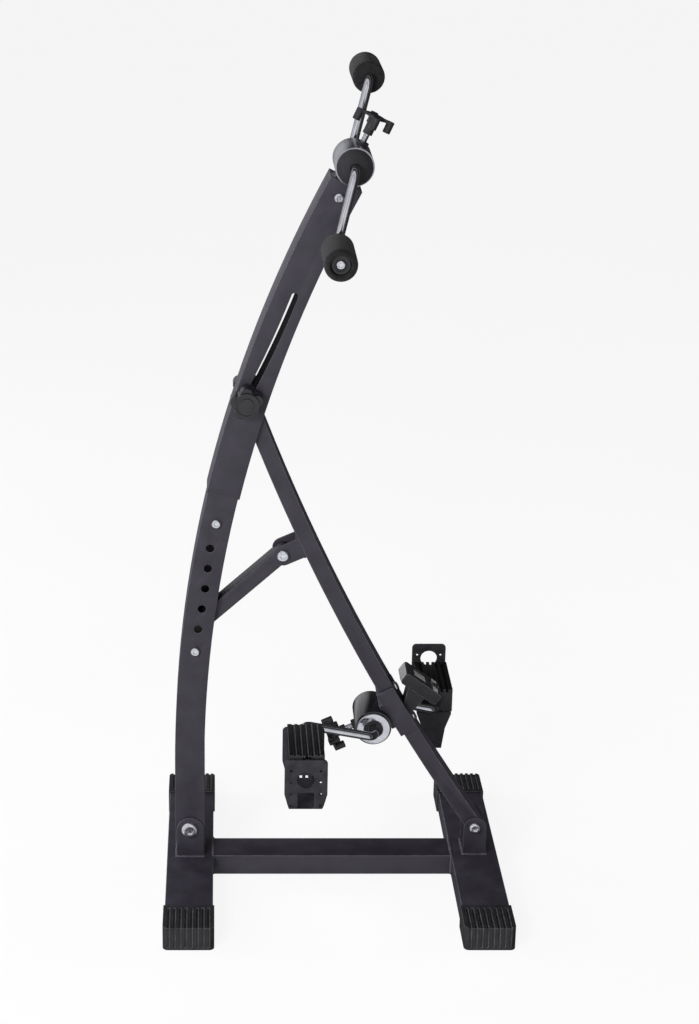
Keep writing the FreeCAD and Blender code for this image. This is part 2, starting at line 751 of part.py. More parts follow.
# Hubs
def hub(level, place, boss):
    """A hub shell with its two bearings and the boss of its tension screw."""
    shell = ring(level + "_shell_sleeve", "shell_radius", "shell_radius - shell_wall", "-shell_deep / 2",
                 "shell_deep / 2", place)
    channel = post(level + "_pad_channel", "pad_radius + side_gap", "rod_radius", "boss_top + overrun", boss)
    keep(level + "_hub_shell", cut(level + "_hub_shell", shell, channel))
    bearings = []
    for end, sign in SIDES.items():
        middle = f"{sign} * (shell_deep / 2 - bearing_inset - bearing_deep / 2)"
        bearings.append(ring(f"{level}_{end}_bearing", "shell_radius - shell_wall - seat_gap",
                             "rod_radius + running_gap", f"{middle} - bearing_deep / 2",
                             f"{middle} + bearing_deep / 2", place))
    keep(level + "_bearings", group(level + "_bearings", *bearings))
    boss_body = post(level + "_boss_body", "boss_radius", "shell_radius - shell_wall", "boss_top", boss)
    shell_space = rod(level + "_boss_seat", "shell_radius", "-shell_deep", "shell_deep", place)
    boss_bore = post(level + "_boss_bore", "pad_radius + side_gap", "rod_radius", "boss_top + overrun", boss)
    keep(level + "_tension_boss", cut(level + "_tension_boss", boss_body, shell_space, boss_bore))


def end_rings(name, outer, inner, start, tall, place):
    """Two equal rings at the near and far ends of a hub."""
    near = ring(name + "_near", outer, inner, f"-({start}) - {tall}", f"-({start})", place)
    far = ring(name + "_far", outer, inner, start, f"{start} + {tall}", place)
    keep(name, group(name, near, far))


def domed_caps():
    """The domed covers at both ends of the upper hub."""
    caps = []
    for end, sign in SIDES.items():
        reach = between(sign, "shell_deep / 2", "shell_deep / 2 + ring_tall + hub_dome")
        ball = doc.addObject("Part::Sphere", end + "_cap_ball")
        spot = at("0", f"{sign} * (shell_deep / 2 + ring_tall + hub_dome - dome_radius)", "0")
        bind(ball, Radius="dome_radius", Placement=f"{UPPER_HUB} * {spot}")
        dome = common(end + "_dome", rod(end + "_cap_disc", "ring_radius", *reach, UPPER_HUB), ball)
        bore = rod(end + "_cap_bore", "rod_radius + axle_gap", "-shell_deep", "shell_deep", UPPER_HUB)
        caps.append(cut(end + "_domed_cap", dome, bore))
    keep("upper_hub_caps", group("upper_hub_caps", *caps))


def tension(level, boss):
    """The brake pad inside a hub and the screw that presses it."""
    pad = level + "_brake_pad"
    screw = level + "_tension_screw"
    keep(pad, post(pad, "pad_radius", "rod_radius + side_gap", "pad_top", boss))
    keep(screw, post(screw, "tension_radius", "pad_top", "knob_sleeve_from", boss))


def tension_knob(level, boss):
    """A cross knob: a thin plate with a leg under the end of each arm, on a long sleeve."""
    name = level + "_knob"
    parts = [post(name + "_sleeve", "knob_sleeve_radius", "knob_sleeve_from", "knob_top", boss),
             post(name + "_core", "knob_core_radius", "knob_plate_from", "knob_top", boss)]
    for number in range(int(value("knob_lobes"))):
        turned = f"{boss} * {spin(f'360deg * {number} / knob_lobes')}"
        parts.append(post(f"{name}_leg{number}", "knob_lobe", "knob_legs_from", "knob_top",
                          f"{turned} * {at('knob_reach', '0', '0')}"))
        parts.append(block(f"{name}_arm{number}", "knob_reach", "knob_arm_wide", "knob_top - knob_plate_from",
                           f"{turned} * {at('knob_reach / 2', '0', '(knob_plate_from + knob_top) / 2')}"))
    keep(level + "_tension_knob", fuse(level + "_tension_knob", *parts))


# Strut
def strut_tube():
    half = "strut_thick / 2"
    outer = fuse("strut_outer",
                 strut_band("strut_bar", "strut_thick", "strut_deep", "strut_long", "0"),
                 rod("strut_top_end", half, "-strut_deep / 2", "strut_deep / 2", CLAMP),
                 rod("strut_low_end", half, "-strut_deep / 2", "strut_deep / 2", RIGHT_PIVOT))
    inner = strut_band("strut_bore", "strut_thick - 2 * strut_wall", "strut_deep - 2 * strut_wall",
                       "strut_long - bush_radius - overrun", "clamp_bush_radius + overrun")
    low_hole = rod("strut_bush_hole", "bush_radius + seat_gap", "-strut_deep", "strut_deep", RIGHT_PIVOT)
    top_hole = rod("clamp_bush_hole", "clamp_bush_radius + seat_gap", "-strut_deep", "strut_deep", CLAMP)
    keep("strut_tube", cut("strut_tube", outer, inner, low_hole, top_hole))


def strut_bushes():
    keep("strut_pivot_bush", ring("strut_pivot_bush", "bush_radius", "pivot_bolt_radius + running_gap",
                                  "-strut_deep / 2", "strut_deep / 2", RIGHT_PIVOT))
    keep("clamp_bush", ring("clamp_bush", "clamp_bush_radius", "clamp_bolt_radius + running_gap",
                            "-clamp_bush_long / 2", "clamp_bush_long / 2", CLAMP))


def brace_clevis():
    """Two lugs on the strut that hold the brace, with the plate that joins them."""
    gap = "(brace_deep + 2 * side_gap)"
    deep = f"({gap} + 2 * clevis_plate)"
    arm = "(clevis_reach - strut_thick / 2)"
    middle = f"-strut_thick / 2 - {arm} / 2"
    lugs = block("clevis_lugs", arm, deep, "2 * clevis_radius", on_strut("clevis_down", middle))
    eye = rod("clevis_eye", "clevis_radius", f"-{deep} / 2", f"{deep} / 2", CLEVIS)
    foot = block("clevis_foot", "clevis_plate", deep, "clevis_foot",
                 on_strut("clevis_down", "-(strut_thick + clevis_plate) / 2"))
    space = block("clevis_space", f"2 * {arm}", gap, "clevis_foot",
                  on_strut("clevis_down", f"-strut_thick / 2 - clevis_plate - {arm}"))
    strut_space = strut_band("clevis_seat", "strut_thick", f"2 * {deep}", "clevis_down + clevis_foot",
                             "clevis_down - clevis_foot")
    hole = rod("clevis_hole", "small_bolt_radius + seat_gap", f"-{deep}", deep, CLEVIS)
    keep("brace_clevis", cut("brace_clevis", fuse("clevis_body", lugs, eye, foot), space, strut_space, hole))
    face = f"({deep} / 2)"
    keep("clevis_bolt", bolt("clevis_bolt", CLEVIS, "small_bolt_radius", "clevis_head_radius",
                             "small_head_tall", f"-{face}", f"{face} + small_nut_tall + overrun"))
    keep("clevis_nut", nut("clevis_nut", CLEVIS, "small_bolt_radius", "small_head_radius", "small_nut_tall",
                           face))


def hub_saddle():
    """The plate sleeve that welds the lower hub to the strut, open on its right side."""
    deep = "(strut_deep + 2 * (saddle_plate + seat_gap))"
    low = "hub_down + saddle_long / 2"
    high = "hub_down - saddle_long / 2"
    sleeve = strut_band("saddle_sleeve", "strut_thick + saddle_plate + seat_gap", deep, low, high,
                        "-(saddle_plate + seat_gap) / 2")
    pad = block("saddle_pad", "2 * saddle_pad_thick", deep, "saddle_pad_long",
                on_strut("hub_down", "-strut_thick / 2 - seat_gap - saddle_plate"))
    strut_space = strut_band("saddle_space", "strut_thick + 2 * seat_gap", "strut_deep + 2 * seat_gap",
                             f"{low} + saddle_long", f"{high} - saddle_long")
    cradle = rod("saddle_cradle", "shell_radius", "-shell_deep", "shell_deep", LOWER_HUB)
    keep("hub_saddle", cut("hub_saddle", fuse("saddle_body", sleeve, pad), strut_space, cradle))
    screws = []
    for number, sign in enumerate(("-1", "1")):
        place = on_strut(f"hub_down + {sign} * saddle_bolt_spacing / 2", "strut_thick / 2 + seat_gap")
        screws.append(bar(f"saddle_screw{number}", "small_head_radius", "0", "small_head_tall", place))
    keep("saddle_bolts", group("saddle_bolts", *screws))


# Clamp
def crown_dish(crown_end):
    """The ring-shaped hollow in the near knob's crown, round a button in its middle."""
    floor = f"{crown_end} - clamp_knob_dish_deep"
    hollow = post("near_knob_hollow", "clamp_knob_ring - clamp_knob_rim", floor, f"{crown_end} + overrun",
                  f"{CLAMP} * {TO_NEAR}")
    button = post("near_knob_button", "clamp_knob_button", "0", crown_end, f"{CLAMP} * {TO_NEAR}")
    return cut("near_knob_dish", hollow, button)


def clamp():
    """The hand clamp through the slots: a washer and knob near, a knob with the bolt far."""
    face = "(sleeve_deep / 2 + side_gap)"
    knob_face = f"({face} + washer_tall)"
    near_end = f"({knob_face} + clamp_knob_tall)"
    keep("near_clamp_washer", ring("near_clamp_washer", "washer_radius", "clamp_bolt_radius + running_gap",
                                   f"-{knob_face}", f"-{face}", CLAMP))
    lobes = lobed("near_knob_lobes", "clamp_knob_radius", "clamp_knob_lobe", "clamp_knob_lobes", knob_face,
                  near_end, f"{CLAMP} * {TO_NEAR}")
    crown_end = f"({near_end} + clamp_knob_ring_tall)"
    crown = post("near_knob_crown", "clamp_knob_ring", knob_face, crown_end, f"{CLAMP} * {TO_NEAR}")
    bore = post("near_knob_bore", "clamp_bolt_radius + running_gap", "0", near_end, f"{CLAMP} * {TO_NEAR}")
    keep("near_clamp_knob", cut("near_clamp_knob", fuse("near_knob_body", lobes, crown), bore,
                                crown_dish(crown_end)))
    keep("clamp_bolt", rod("clamp_bolt", "clamp_bolt_radius", f"-{near_end} + small_head_tall",
                           f"{face} + far_knob_tall / 2", CLAMP))
    far_body = lobed("far_knob_lobes", "far_knob_radius", "clamp_knob_lobe", "clamp_knob_lobes", face,
                     f"{face} + far_knob_tall", f"{CLAMP} * {TO_FAR}")
    far_bore = rod("far_knob_bore", "clamp_bolt_radius + seat_gap", "0", f"{face} + far_knob_tall / 2", CLAMP)
    keep("far_clamp_knob", cut("far_clamp_knob", far_body, far_bore))


# Brace
def brace():
    link_bar = fuse("brace_bar", block("brace_flat", "brace_long", "brace_deep", "brace_thick",
                                       on_brace("brace_long / 2")),
                    rod("brace_high_end", "brace_thick / 2", "-brace_deep / 2", "brace_deep / 2", CLEVIS),
                    rod("brace_low_end", "brace_thick / 2", "-brace_deep / 2", "brace_deep / 2",
                        on_brace("brace_long")))
    pin_radius = "(hole_radius - pin_play)"
    bolt_hole = rod("brace_bolt_hole", "small_bolt_radius + running_gap", "-brace_deep", "brace_deep", CLEVIS)
    pin_hole = rod("brace_pin_hole", f"{pin_radius} + running_gap", "-brace_deep", "brace_deep",
                   on_brace("brace_long"))
    keep("brace_link", cut("brace_link", link_bar, bolt_hole, pin_hole))
    end_rings("brace_guides", "guide_radius", f"{pin_radius} + running_gap", "brace_deep / 2",
              "(guide_deep - brace_deep) / 2", on_brace("brace_long"))
    start = "-(mast_deep / 2 - mast_wall - pin_play)"
    keep("lock_pin", rod("lock_pin", pin_radius, start, f"{start} + pin_long", on_brace("brace_long")))


# Cranks, grips and pedals
def crank_rod(level, place, axle_end):
    """A round rod bent twice on each side of its hub."""
    parts = []
    for end, turn in (("near", "0deg"), ("far", "180deg")):
        half = f"{place} * {spin(turn)}"
        name = f"{level}_{end}"
        parts.append(rod(name + "_hub_axle", "rod_radius", "-(arm_plane - rod_bend)", "0", half))
        inner_turn = at("rod_bend", "-(arm_plane - rod_bend)", "0")
        outer_turn = at("crank_arm - rod_bend", "-(arm_plane + rod_bend)", "0")
        parts.append(rod_bend(name + "_inner_bend", f"{half} * {inner_turn}", "180deg"))
        parts.append(bar(name + "_arm", "rod_radius", "rod_bend", "crank_arm - rod_bend",
                         f"{half} * {at('0', '-arm_plane', '0')}"))
        parts.append(rod_bend(name + "_outer_bend", f"{half} * {outer_turn}", "0deg"))
        parts.append(rod(name + "_axle", "rod_radius", f"-({axle_end})", "-(arm_plane + rod_bend)",
                         f"{half} * {at('crank_arm', '0', '0')}"))
    holes = []
    for end, sign, arm in CRANK_ENDS:
        reach = between(sign, f"{axle_end} - screw_long", f"{axle_end} + overrun")
        holes.append(rod(f"{level}_{end}_screw_hole", "screw_radius + seat_gap", *reach,
                         crank_end(place, arm)))
    keep(level + "_crank_rod", cut(level + "_crank_rod", fuse(level + "_bent_rod", *parts), *holes))


def rod_bend(name, place, start):
    """A quarter turn of rod about the local Z axis."""
    item = doc.addObject("Part::Torus", name)
    return bind(item, Radius1="rod_bend", Radius2="rod_radius", Angle3="90deg",
                Placement=f"{place} * {spin(start)}")


def crank_end(place, arm):
    """The upright place of a grip or pedal axle at the end of a crank arm."""
    turn = "upper_crank_angle" if place == UPPER_CRANK else "lower_crank_angle"
    return f"{place} * {at(arm, '0', '0', f'-{turn} * 1deg')}"


def end_screws(name, place, axle_end):
    """The screws that hold the grips or pedals on a crank."""
    screws = []
    for end, sign, arm in CRANK_ENDS:
        head = between(sign, axle_end, f"{axle_end} + screw_head_tall")
        shank = between(sign, f"{axle_end} - screw_long + overrun", axle_end)
        screws.append(fuse(f"{name}_{end}",
                           rod(f"{name}_{end}_head", "screw_head_radius", *head, crank_end(place, arm)),
                           rod(f"{name}_{end}_shank", "screw_radius", *shank, crank_end(place, arm))))
    keep(name, group(name, *screws))


def between(sign, first, last):
    """Order two distances from the middle so that they rise along Y."""
    return (f"-({last})", f"-({first})") if sign == "-1" else (first, last)


def hand_grip(end, sign, arm):
    name = end + "_grip"
    place = crank_end(UPPER_CRANK, arm)
    body = rod(name + "_body", "grip_radius", *between(sign, "grip_inner", "grip_outer"), place)
    bore = rod(name + "_bore", "rod_radius + running_gap",
               *between(sign, "grip_inner - overrun", "grip_outer"), place)
    recess = rod(name + "_recess", "grip_recess_radius",
                 *between(sign, "grip_outer - grip_recess", "grip_outer + overrun"), place)
    keep(name, cut(name, body, bore, recess))


def pedal_place(end, arm):
    return f"{crank_end(LOWER_CRANK, arm)} * {at('0', '0', '0', PEDAL_TURNS[end])}"


def pedal(end, sign, arm):
    """The pedal block, with grooves along Y above and below."""
    name = end + "_pedal"
    place = pedal_place(end, arm)
    long = "(pedal_outer - pedal_inner)"
    middle = f"{sign} * (pedal_outer + pedal_inner) / 2"
    body = block(name + "_body", "pedal_wide", long, "pedal_above + pedal_below",
                 f"{place} * {at('0', middle, '(pedal_above - pedal_below) / 2')}")
    tools = [rod(name + "_bore", "rod_radius + running_gap",
                 *between(sign, "pedal_inner - overrun", "pedal_outer"), place),
             rod(name + "_recess", "pedal_recess_radius",
                 *between(sign, "pedal_outer - pedal_recess", "pedal_outer + overrun"), place)]
    for number in range(int(value("tread_count"))):
        across = f"pedal_wide * ({number + 1} / (tread_count + 1) - 1 / 2)"
        for face, height, depth in (("top", "pedal_above", "tread_deep"),
                                    ("sole", "-pedal_below", "sole_deep")):
            tools.append(block(f"{name}_{face}_groove{number}", "tread_groove", f"{long} + 2 * overrun",
                               f"2 * {depth}", f"{place} * {at(across, middle, height)}"))
    keep(name, cut(name, body, *tools))


def hooked_band(sign):
    """The near strap seen along X: a U under the pedal with round lower corners."""
    inner = f"{sign} * (pedal_inner - strap_thick)"
    outer = f"{sign} * (pedal_outer + strap_thick)"
    inner_face = f"{sign} * pedal_inner"
    outer_face = f"{sign} * pedal_outer"
    floor = "-(strap_drop - strap_thick)"
    corners = [(inner, "strap_rise"), (inner, "-strap_drop"), (outer, "-strap_drop"), (outer, "strap_rise"),
               (outer_face, "strap_rise"), (outer_face, floor), (inner_face, floor),
               (inner_face, "strap_rise")]
    body = slab("near_band", "YZ_Plane", corners, "2 * strap_wide")
    round_corners(body, "strap_corner", (inner, "-strap_drop"), (outer, "-strap_drop"))
    return round_corners(body, "strap_corner - strap_thick", (inner_face, floor), (outer_face, floor))


def hooked_front():
    """The near strap's outline: a wide plate with round top corners, shoulders and a narrower floor."""
    half = "strap_wide / 2"
    low_half = "strap_low_wide / 2"
    corners = [(f"strap_shift - {half}", "strap_rise"), (f"strap_shift - {half}", "-strap_shoulder"),
               (f"strap_shift - {low_half}", "-strap_drop - overrun"),
               (f"strap_shift + {low_half}", "-strap_drop - overrun"),
               (f"strap_shift + {half}", "-strap_shoulder"), (f"strap_shift + {half}", "strap_rise")]
    body = slab("near_front", "XZ_Plane", corners, "4 * pedal_outer")
    return round_top(body, "strap_rise", "strap_round")


def dot_pair(name, place, leg, middle, apart, height):
    """Two small holes side by side in a strap's outer plate."""
    return [rod(f"{name}_{number}", "strap_dot_radius", *leg,
                f"{place} * {at(f'{middle} + {way} * {apart} / 2', '0', height)}")
            for number, way in enumerate(("-1", "1"))]


def near_strap(sign, arm):
    """The strap that is hooked under the near pedal, with its pull hole, slots and rows of small holes."""
    place = pedal_place("near", arm)
    body = common("near_strap_body", hooked_band(sign), hooked_front())
    bind(body, Placement=place)
    leg = between(sign, "pedal_outer - overrun", "pedal_outer + strap_thick + overrun")
    slot_drop = "-(strap_drop - strap_thick - strap_slot_tall / 2)"
    pull_spot = at("strap_shift", "0", "-strap_hole_drop")
    tools = [rod("near_axle_hole", "rod_radius + 2 * axle_gap",
                 *between(sign, "pedal_inner - strap_thick - overrun", "pedal_inner + overrun"), place),
             rod("near_pull_hole", "strap_hole_radius", *leg, f"{place} * {pull_spot}")]
    for side, face in (("inner", "(pedal_inner - strap_thick)"), ("outer", "(pedal_outer + strap_thick)")):
        tools.append(block(f"near_{side}_slot", "strap_slot_wide", "2 * strap_corner", "strap_slot_tall",
                           f"{place} * {at('strap_shift', f'{sign} * {face}', slot_drop)}"))
    for number in range(int(value("strap_dot_count"))):
        tools += dot_pair(f"near_dots{number}", place, leg, "strap_shift", "strap_dot_apart",
                          f"-strap_dot_drop - {number} * strap_dot_pitch")
    keep("near_strap", cut("near_strap", body, *tools))


def loose_band(sign):
    """The far strap seen along X: up the outer face, along the block and down the inner side."""
    tail = f"{sign} * (pedal_inner - strap_thick)"
    outer = f"{sign} * (pedal_outer + strap_thick)"
    inner_face = f"{sign} * pedal_inner"
    outer_face = f"{sign} * pedal_outer"
    over = "pedal_above + strap_thick"
    corners = [(outer_face, "-tongue_rise"), (outer, "-tongue_rise"), (outer, over), (inner_face, over),
               (inner_face, "tail_drop"), (tail, "tail_drop"), (tail, "pedal_above"),
               (outer_face, "pedal_above")]
    body = slab("far_band", "YZ_Plane", corners, "2 * strap_wide")
    return round_corners(body, "strap_thick", (outer, over), (tail, "pedal_above"))


def loose_front():
    """The far strap's outline: a tongue with round corners that narrows to a tail."""
    half = "tongue_wide / 2"
    middle_half = "tail_middle_wide / 2"
    end_half = "tail_end_wide / 2"
    corners = [(f"tongue_shift - {half}", "-tongue_rise"), (f"tongue_shift + {half}", "-tongue_rise"),
               (f"tongue_shift + {half}", "pedal_above + strap_thick"),
               (f"tongue_shift + {middle_half}", "tail_middle"), (f"tongue_shift + {end_half}", "tail_drop"),
               (f"tongue_shift - {end_half}", "tail_drop"), (f"tongue_shift - {middle_half}", "tail_middle"),
               (f"tongue_shift - {half}", "pedal_above + strap_thick")]
    body = slab("far_front", "XZ_Plane", corners, "4 * pedal_outer")
    return round_top(body, "-tongue_rise", "strap_round")


def far_strap(sign, arm):
    """The strap that has come off its hook on the far pedal, which hangs the other way up."""
    place = pedal_place("far", arm)
    body = common("far_strap_body", loose_band(sign), loose_front())
    bind(body, Placement=place)
    leg = between(sign, "pedal_outer - overrun", "pedal_outer + strap_thick + overrun")
    pull_spot = at("tongue_shift", "0", "-tongue_hole_rise")
    tools = [rod("far_pull_hole", "strap_hole_radius", *leg, f"{place} * {pull_spot}")]
    tools += dot_pair("far_dots", place, leg, "tongue_shift", "tongue_dot_apart", "-tongue_dot_rise")
    keep("far_strap", cut("far_strap", body, *tools))


# Counter
COUNTER = on_strut("counter_down", "counter_reach") + " * " + at("0", "0", "0", "counter_angle * 1deg")
BUTTON = COUNTER + " * " + at("button_shift", "0", "counter_tall / 2")


def counter_housing():
    """The case of the small exercise counter, with its sunk window and the pocket of its button."""
    half_long = "counter_long / 2"
    half_tall = "counter_tall / 2"
    corners = [(f"-{half_long}", f"-{half_tall}"), (half_long, f"-{half_tall}"), (half_long, half_tall),
               (f"-{half_long}", half_tall)]
    body = slab("counter_case", "XZ_Plane", corners, "counter_deep")
    round_edges(body, lambda edge: runs_along(edge, 1), "counter_corner")
    bind(body, Placement=COUNTER)
    window = block("counter_window", "window_long", "window_deep", "2 * window_sink",
                   f"{COUNTER} * {at('-window_shift', '0', half_tall)}")
    pocket = post("button_pocket", "button_radius + side_gap", "-button_deep - button_travel - side_gap",
                  "overrun", BUTTON)
    keep("counter_housing", cut("counter_housing", body, window, pocket))


def counter_bracket():
    """The neck that carries the counter on the strut's right face, wider towards the case."""
    face = "strut_thick / 2"
    corners = [(f"{face} - overrun", "0"), (f"{face} + neck_high_out", "neck_high_up"),
               (f"{face} + neck_low_out", "-neck_low_down"), (f"{face} - overrun", "-neck_wide")]
    neck = slab("counter_neck", "XZ_Plane", corners, "neck_deep", on_strut("counter_down + neck_below"))
    strut_space = strut_band("counter_seat", "strut_thick", "strut_deep", "counter_down + counter_long",
                             "counter_down - counter_long")
    room = block("counter_room", "counter_long", "counter_deep", "counter_tall", COUNTER)
    above = block("counter_above", "counter_long", "counter_deep", "2 * counter_long",
                  f"{COUNTER} * {lift('counter_long + counter_tall / 2')}")
    keep("counter_bracket", cut("counter_bracket", neck, strut_space, fuse("counter_clearance", room, above)))


def counter_button():
    keep("counter_button", post("counter_button", "button_radius", "-button_deep", "button_proud", BUTTON))


for step in (base, lower_tube, upper_tube, mast_fasteners, hub_stem):
    step()
hub("upper", UPPER_HUB, UPPER_BOSS)
hub("lower", LOWER_HUB, LOWER_BOSS)
domed_caps()
end_rings("lower_hub_rings", "ring_radius", "dust_cap_radius", "shell_deep / 2", "ring_tall", LOWER_HUB)
end_rings("lower_dust_caps", "dust_cap_radius - seat_gap", "rod_radius + axle_gap", "shell_deep / 2",
          "ring_tall / 2", LOWER_HUB)
for level, boss in (("upper", UPPER_BOSS), ("lower", LOWER_BOSS)):
    tension(level, boss)
    tension_knob(level, boss)
for step in (strut_tube, strut_bushes, brace_clevis, hub_saddle, clamp, brace,
             counter_housing, counter_bracket, counter_button):
    step()
GRIP_AXLE = "grip_outer - grip_recess"
PEDAL_AXLE = "pedal_outer - pedal_recess"
crank_rod("upper", UPPER_CRANK, GRIP_AXLE)
crank_rod("lower", LOWER_CRANK, PEDAL_AXLE)
end_screws("grip_screws", UPPER_CRANK, GRIP_AXLE)
end_screws("pedal_screws", LOWER_CRANK, PEDAL_AXLE)
for end, sign, arm in CRANK_ENDS:
    hand_grip(end, sign, arm)
    pedal(end, sign, arm)
near_strap("-1", "crank_arm")
far_strap("1", "-crank_arm")

doc.recompute()
for item in doc.Objects:
    if "Invalid" in item.State or "Error" in item.State:
        raise RuntimeError(item.Name + " failed to recompute")
for item in nodes:
    if item.Shape.isNull() or not item.Shape.isValid():
        raise RuntimeError(item.Label + " has no valid shape")

os.makedirs("parts", exist_ok=True)
for item in nodes:
    item.Shape.exportStep("parts/" + item.Label + ".step")
print(len(nodes), "sub-parts")
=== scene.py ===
import bmesh
import bpy
import json
import math
from mathutils import Matrix, Vector

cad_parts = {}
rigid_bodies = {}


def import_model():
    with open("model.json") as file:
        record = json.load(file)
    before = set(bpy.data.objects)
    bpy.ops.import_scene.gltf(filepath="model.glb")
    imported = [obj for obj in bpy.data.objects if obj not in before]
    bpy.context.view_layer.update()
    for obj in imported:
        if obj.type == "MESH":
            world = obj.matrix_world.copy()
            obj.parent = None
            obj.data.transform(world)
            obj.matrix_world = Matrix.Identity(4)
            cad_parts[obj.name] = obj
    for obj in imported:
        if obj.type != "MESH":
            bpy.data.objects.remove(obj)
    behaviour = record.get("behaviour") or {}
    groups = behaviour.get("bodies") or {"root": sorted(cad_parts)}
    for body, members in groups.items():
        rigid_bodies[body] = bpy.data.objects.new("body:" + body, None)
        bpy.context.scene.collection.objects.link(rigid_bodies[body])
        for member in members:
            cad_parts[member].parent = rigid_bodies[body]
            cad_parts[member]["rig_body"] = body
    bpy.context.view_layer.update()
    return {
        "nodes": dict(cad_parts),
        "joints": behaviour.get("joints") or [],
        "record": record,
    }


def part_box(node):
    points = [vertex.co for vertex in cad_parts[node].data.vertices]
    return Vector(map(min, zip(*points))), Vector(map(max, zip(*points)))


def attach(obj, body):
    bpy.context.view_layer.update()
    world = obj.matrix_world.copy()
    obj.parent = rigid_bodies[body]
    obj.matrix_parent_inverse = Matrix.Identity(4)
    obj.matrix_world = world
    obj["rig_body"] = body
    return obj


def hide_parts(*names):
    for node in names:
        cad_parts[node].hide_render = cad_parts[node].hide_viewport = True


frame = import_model()
MM = 0.001
FULL_TURN = 2 * math.pi
QUARTER = FULL_TURN / 4
HEXAGON = 6

# A Mix node's colour sockets share their names with its other sockets, so these go by number.
MIX_FIRST = 6
MIX_SECOND = 7
MIX_RESULT = 2
# A wave texture runs through this many radians in one unit at a scale of 1.
WAVE_RADIANS = 20
# A noise pattern seldom leaves this span.
NOISE_SPAN = {"From Min": 0.3, "From Max": 0.7}
# Pale patches along rounded edges: partly wear, partly a painted highlight; no edge drops below the least
# share.
RUB_AND_HIGHLIGHT_PATCH_MM = 9
RUB_AND_HIGHLIGHT_LEAST = 0.1


# Materials
def linear(code):
    """Turn an sRGB hex code into a linear colour."""
    shares = [int(code[start:start + 2], 16) / 255 for start in (1, 3, 5)]
    return [share / 12.92 if share <= 0.04045 else ((share + 0.055) / 1.055) ** 2.4
            for share in shares] + [1]


def add(tree, kind, inputs=None, **settings):
    """Add a node, set its properties, and set or link its inputs."""
    node = tree.nodes.new(kind)
    for name, content in settings.items():
        setattr(node, name, content)
    for name, content in (inputs or {}).items():
        if isinstance(content, bpy.types.NodeSocket):
            tree.links.new(content, node.inputs[name])
        else:
            node.inputs[name].default_value = content
    return node


def new_material(name, metallic=0.0, ior=1.5, specular=0.5, coat=0.0, sheen=0.0):
    """A material whose shader waits for its colour, roughness and bump."""
    material = bpy.data.materials.new(name)
    material.use_nodes = True
    shader = material.node_tree.nodes["Principled BSDF"]
    shader.inputs["Metallic"].default_value = metallic
    shader.inputs["IOR"].default_value = ior
    shader.inputs["Specular IOR Level"].default_value = specular
    shader.inputs["Coat Weight"].default_value = coat
    shader.inputs["Sheen Weight"].default_value = sheen
    return material, material.node_tree, shader


def scale_of(size_mm):
    """The scale at which a noise or cell pattern has features about this long."""
    return 1 / (size_mm * MM)


def mottled(tree, shader, dark, light, patch_mm, low_rough, high_rough):
    """Vary colour and roughness in soft patches of a real size."""
    where = add(tree, "ShaderNodeTexCoord").outputs["Object"]
    noise = add(tree, "ShaderNodeTexNoise", {"Vector": where, "Scale": scale_of(patch_mm), "Detail": 4.0})
    patches = noise.outputs["Fac"]
    share = add(tree, "ShaderNodeMapRange", {"Value": patches, **NOISE_SPAN})
    blend = add(tree, "ShaderNodeMix", {"Factor": share.outputs["Result"], MIX_FIRST: linear(dark),
                                        MIX_SECOND: linear(light)}, data_type="RGBA")
    rough = add(tree, "ShaderNodeMapRange", {"Value": patches, **NOISE_SPAN, "To Min": low_rough,
                                             "To Max": high_rough})
    tree.links.new(blend.outputs[MIX_RESULT], shader.inputs["Base Color"])
    tree.links.new(rough.outputs["Result"], shader.inputs["Roughness"])
    return where, blend.outputs[MIX_RESULT]


def rubbed_and_highlit_edges(tree, shader, where, colour, pale, most):
    """Lighten the rounded edges in uneven patches: partly wear where hands and shoes rub, partly a painted
    highlight along every edge.
    """
    rim = add(tree, "ShaderNodeAttribute", attribute_name="rim")
    noise = add(tree, "ShaderNodeTexNoise", {"Vector": where, "Scale": scale_of(RUB_AND_HIGHLIGHT_PATCH_MM), "Detail": 3.0})
    worn_and_highlit = add(tree, "ShaderNodeMapRange", {"Value": noise.outputs["Fac"], **NOISE_SPAN, "To Min": RUB_AND_HIGHLIGHT_LEAST,
                                            "To Max": most})
    rub_and_highlight = add(tree, "ShaderNodeMath", {0: rim.outputs["Fac"], 1: worn_and_highlit.outputs["Result"]},
              operation="MULTIPLY")
    blend = add(tree, "ShaderNodeMix", {"Factor": rub_and_highlight.outputs[0], MIX_FIRST: colour,
                                        MIX_SECOND: linear(pale)}, data_type="RGBA")
    tree.links.new(blend.outputs[MIX_RESULT], shader.inputs["Base Color"])


def relief(tree, shader, heights, depth_mm, strength):
    """Raise the surface by the sum of height patterns."""
    total = heights[0]
    for height in heights[1:]:
        total = add(tree, "ShaderNodeMath", {0: total, 1: height}, operation="ADD").outputs[0]
    bump = add(tree, "ShaderNodeBump", {"Height": total, "Distance": depth_mm * MM, "Strength": strength})
    tree.links.new(bump.outputs["Normal"], shader.inputs["Normal"])


def grained(tree, shader, where, size_mm, depth_mm, strength, detail=3.0):
    """Raise the surface in a grain about size_mm across."""
    noise = add(tree, "ShaderNodeTexNoise", {"Vector": where, "Scale": scale_of(size_mm), "Detail": detail})
    relief(tree, shader, [noise.outputs["Fac"]], depth_mm, strength)


def ringed(tree, shader, where, radian_mm, depth_mm, strength, distortion=0.0):
    """Raise rings round the Y axis, coarse enough to show; one radian of their wave is radian_mm long."""
    wave = add(tree, "ShaderNodeTexWave", {"Vector": where, "Scale": 1 / (radian_mm * MM * WAVE_RADIANS),
                                           "Distortion": distortion}, bands_direction="Y")
    relief(tree, shader, [wave.outputs["Fac"]], depth_mm, strength)


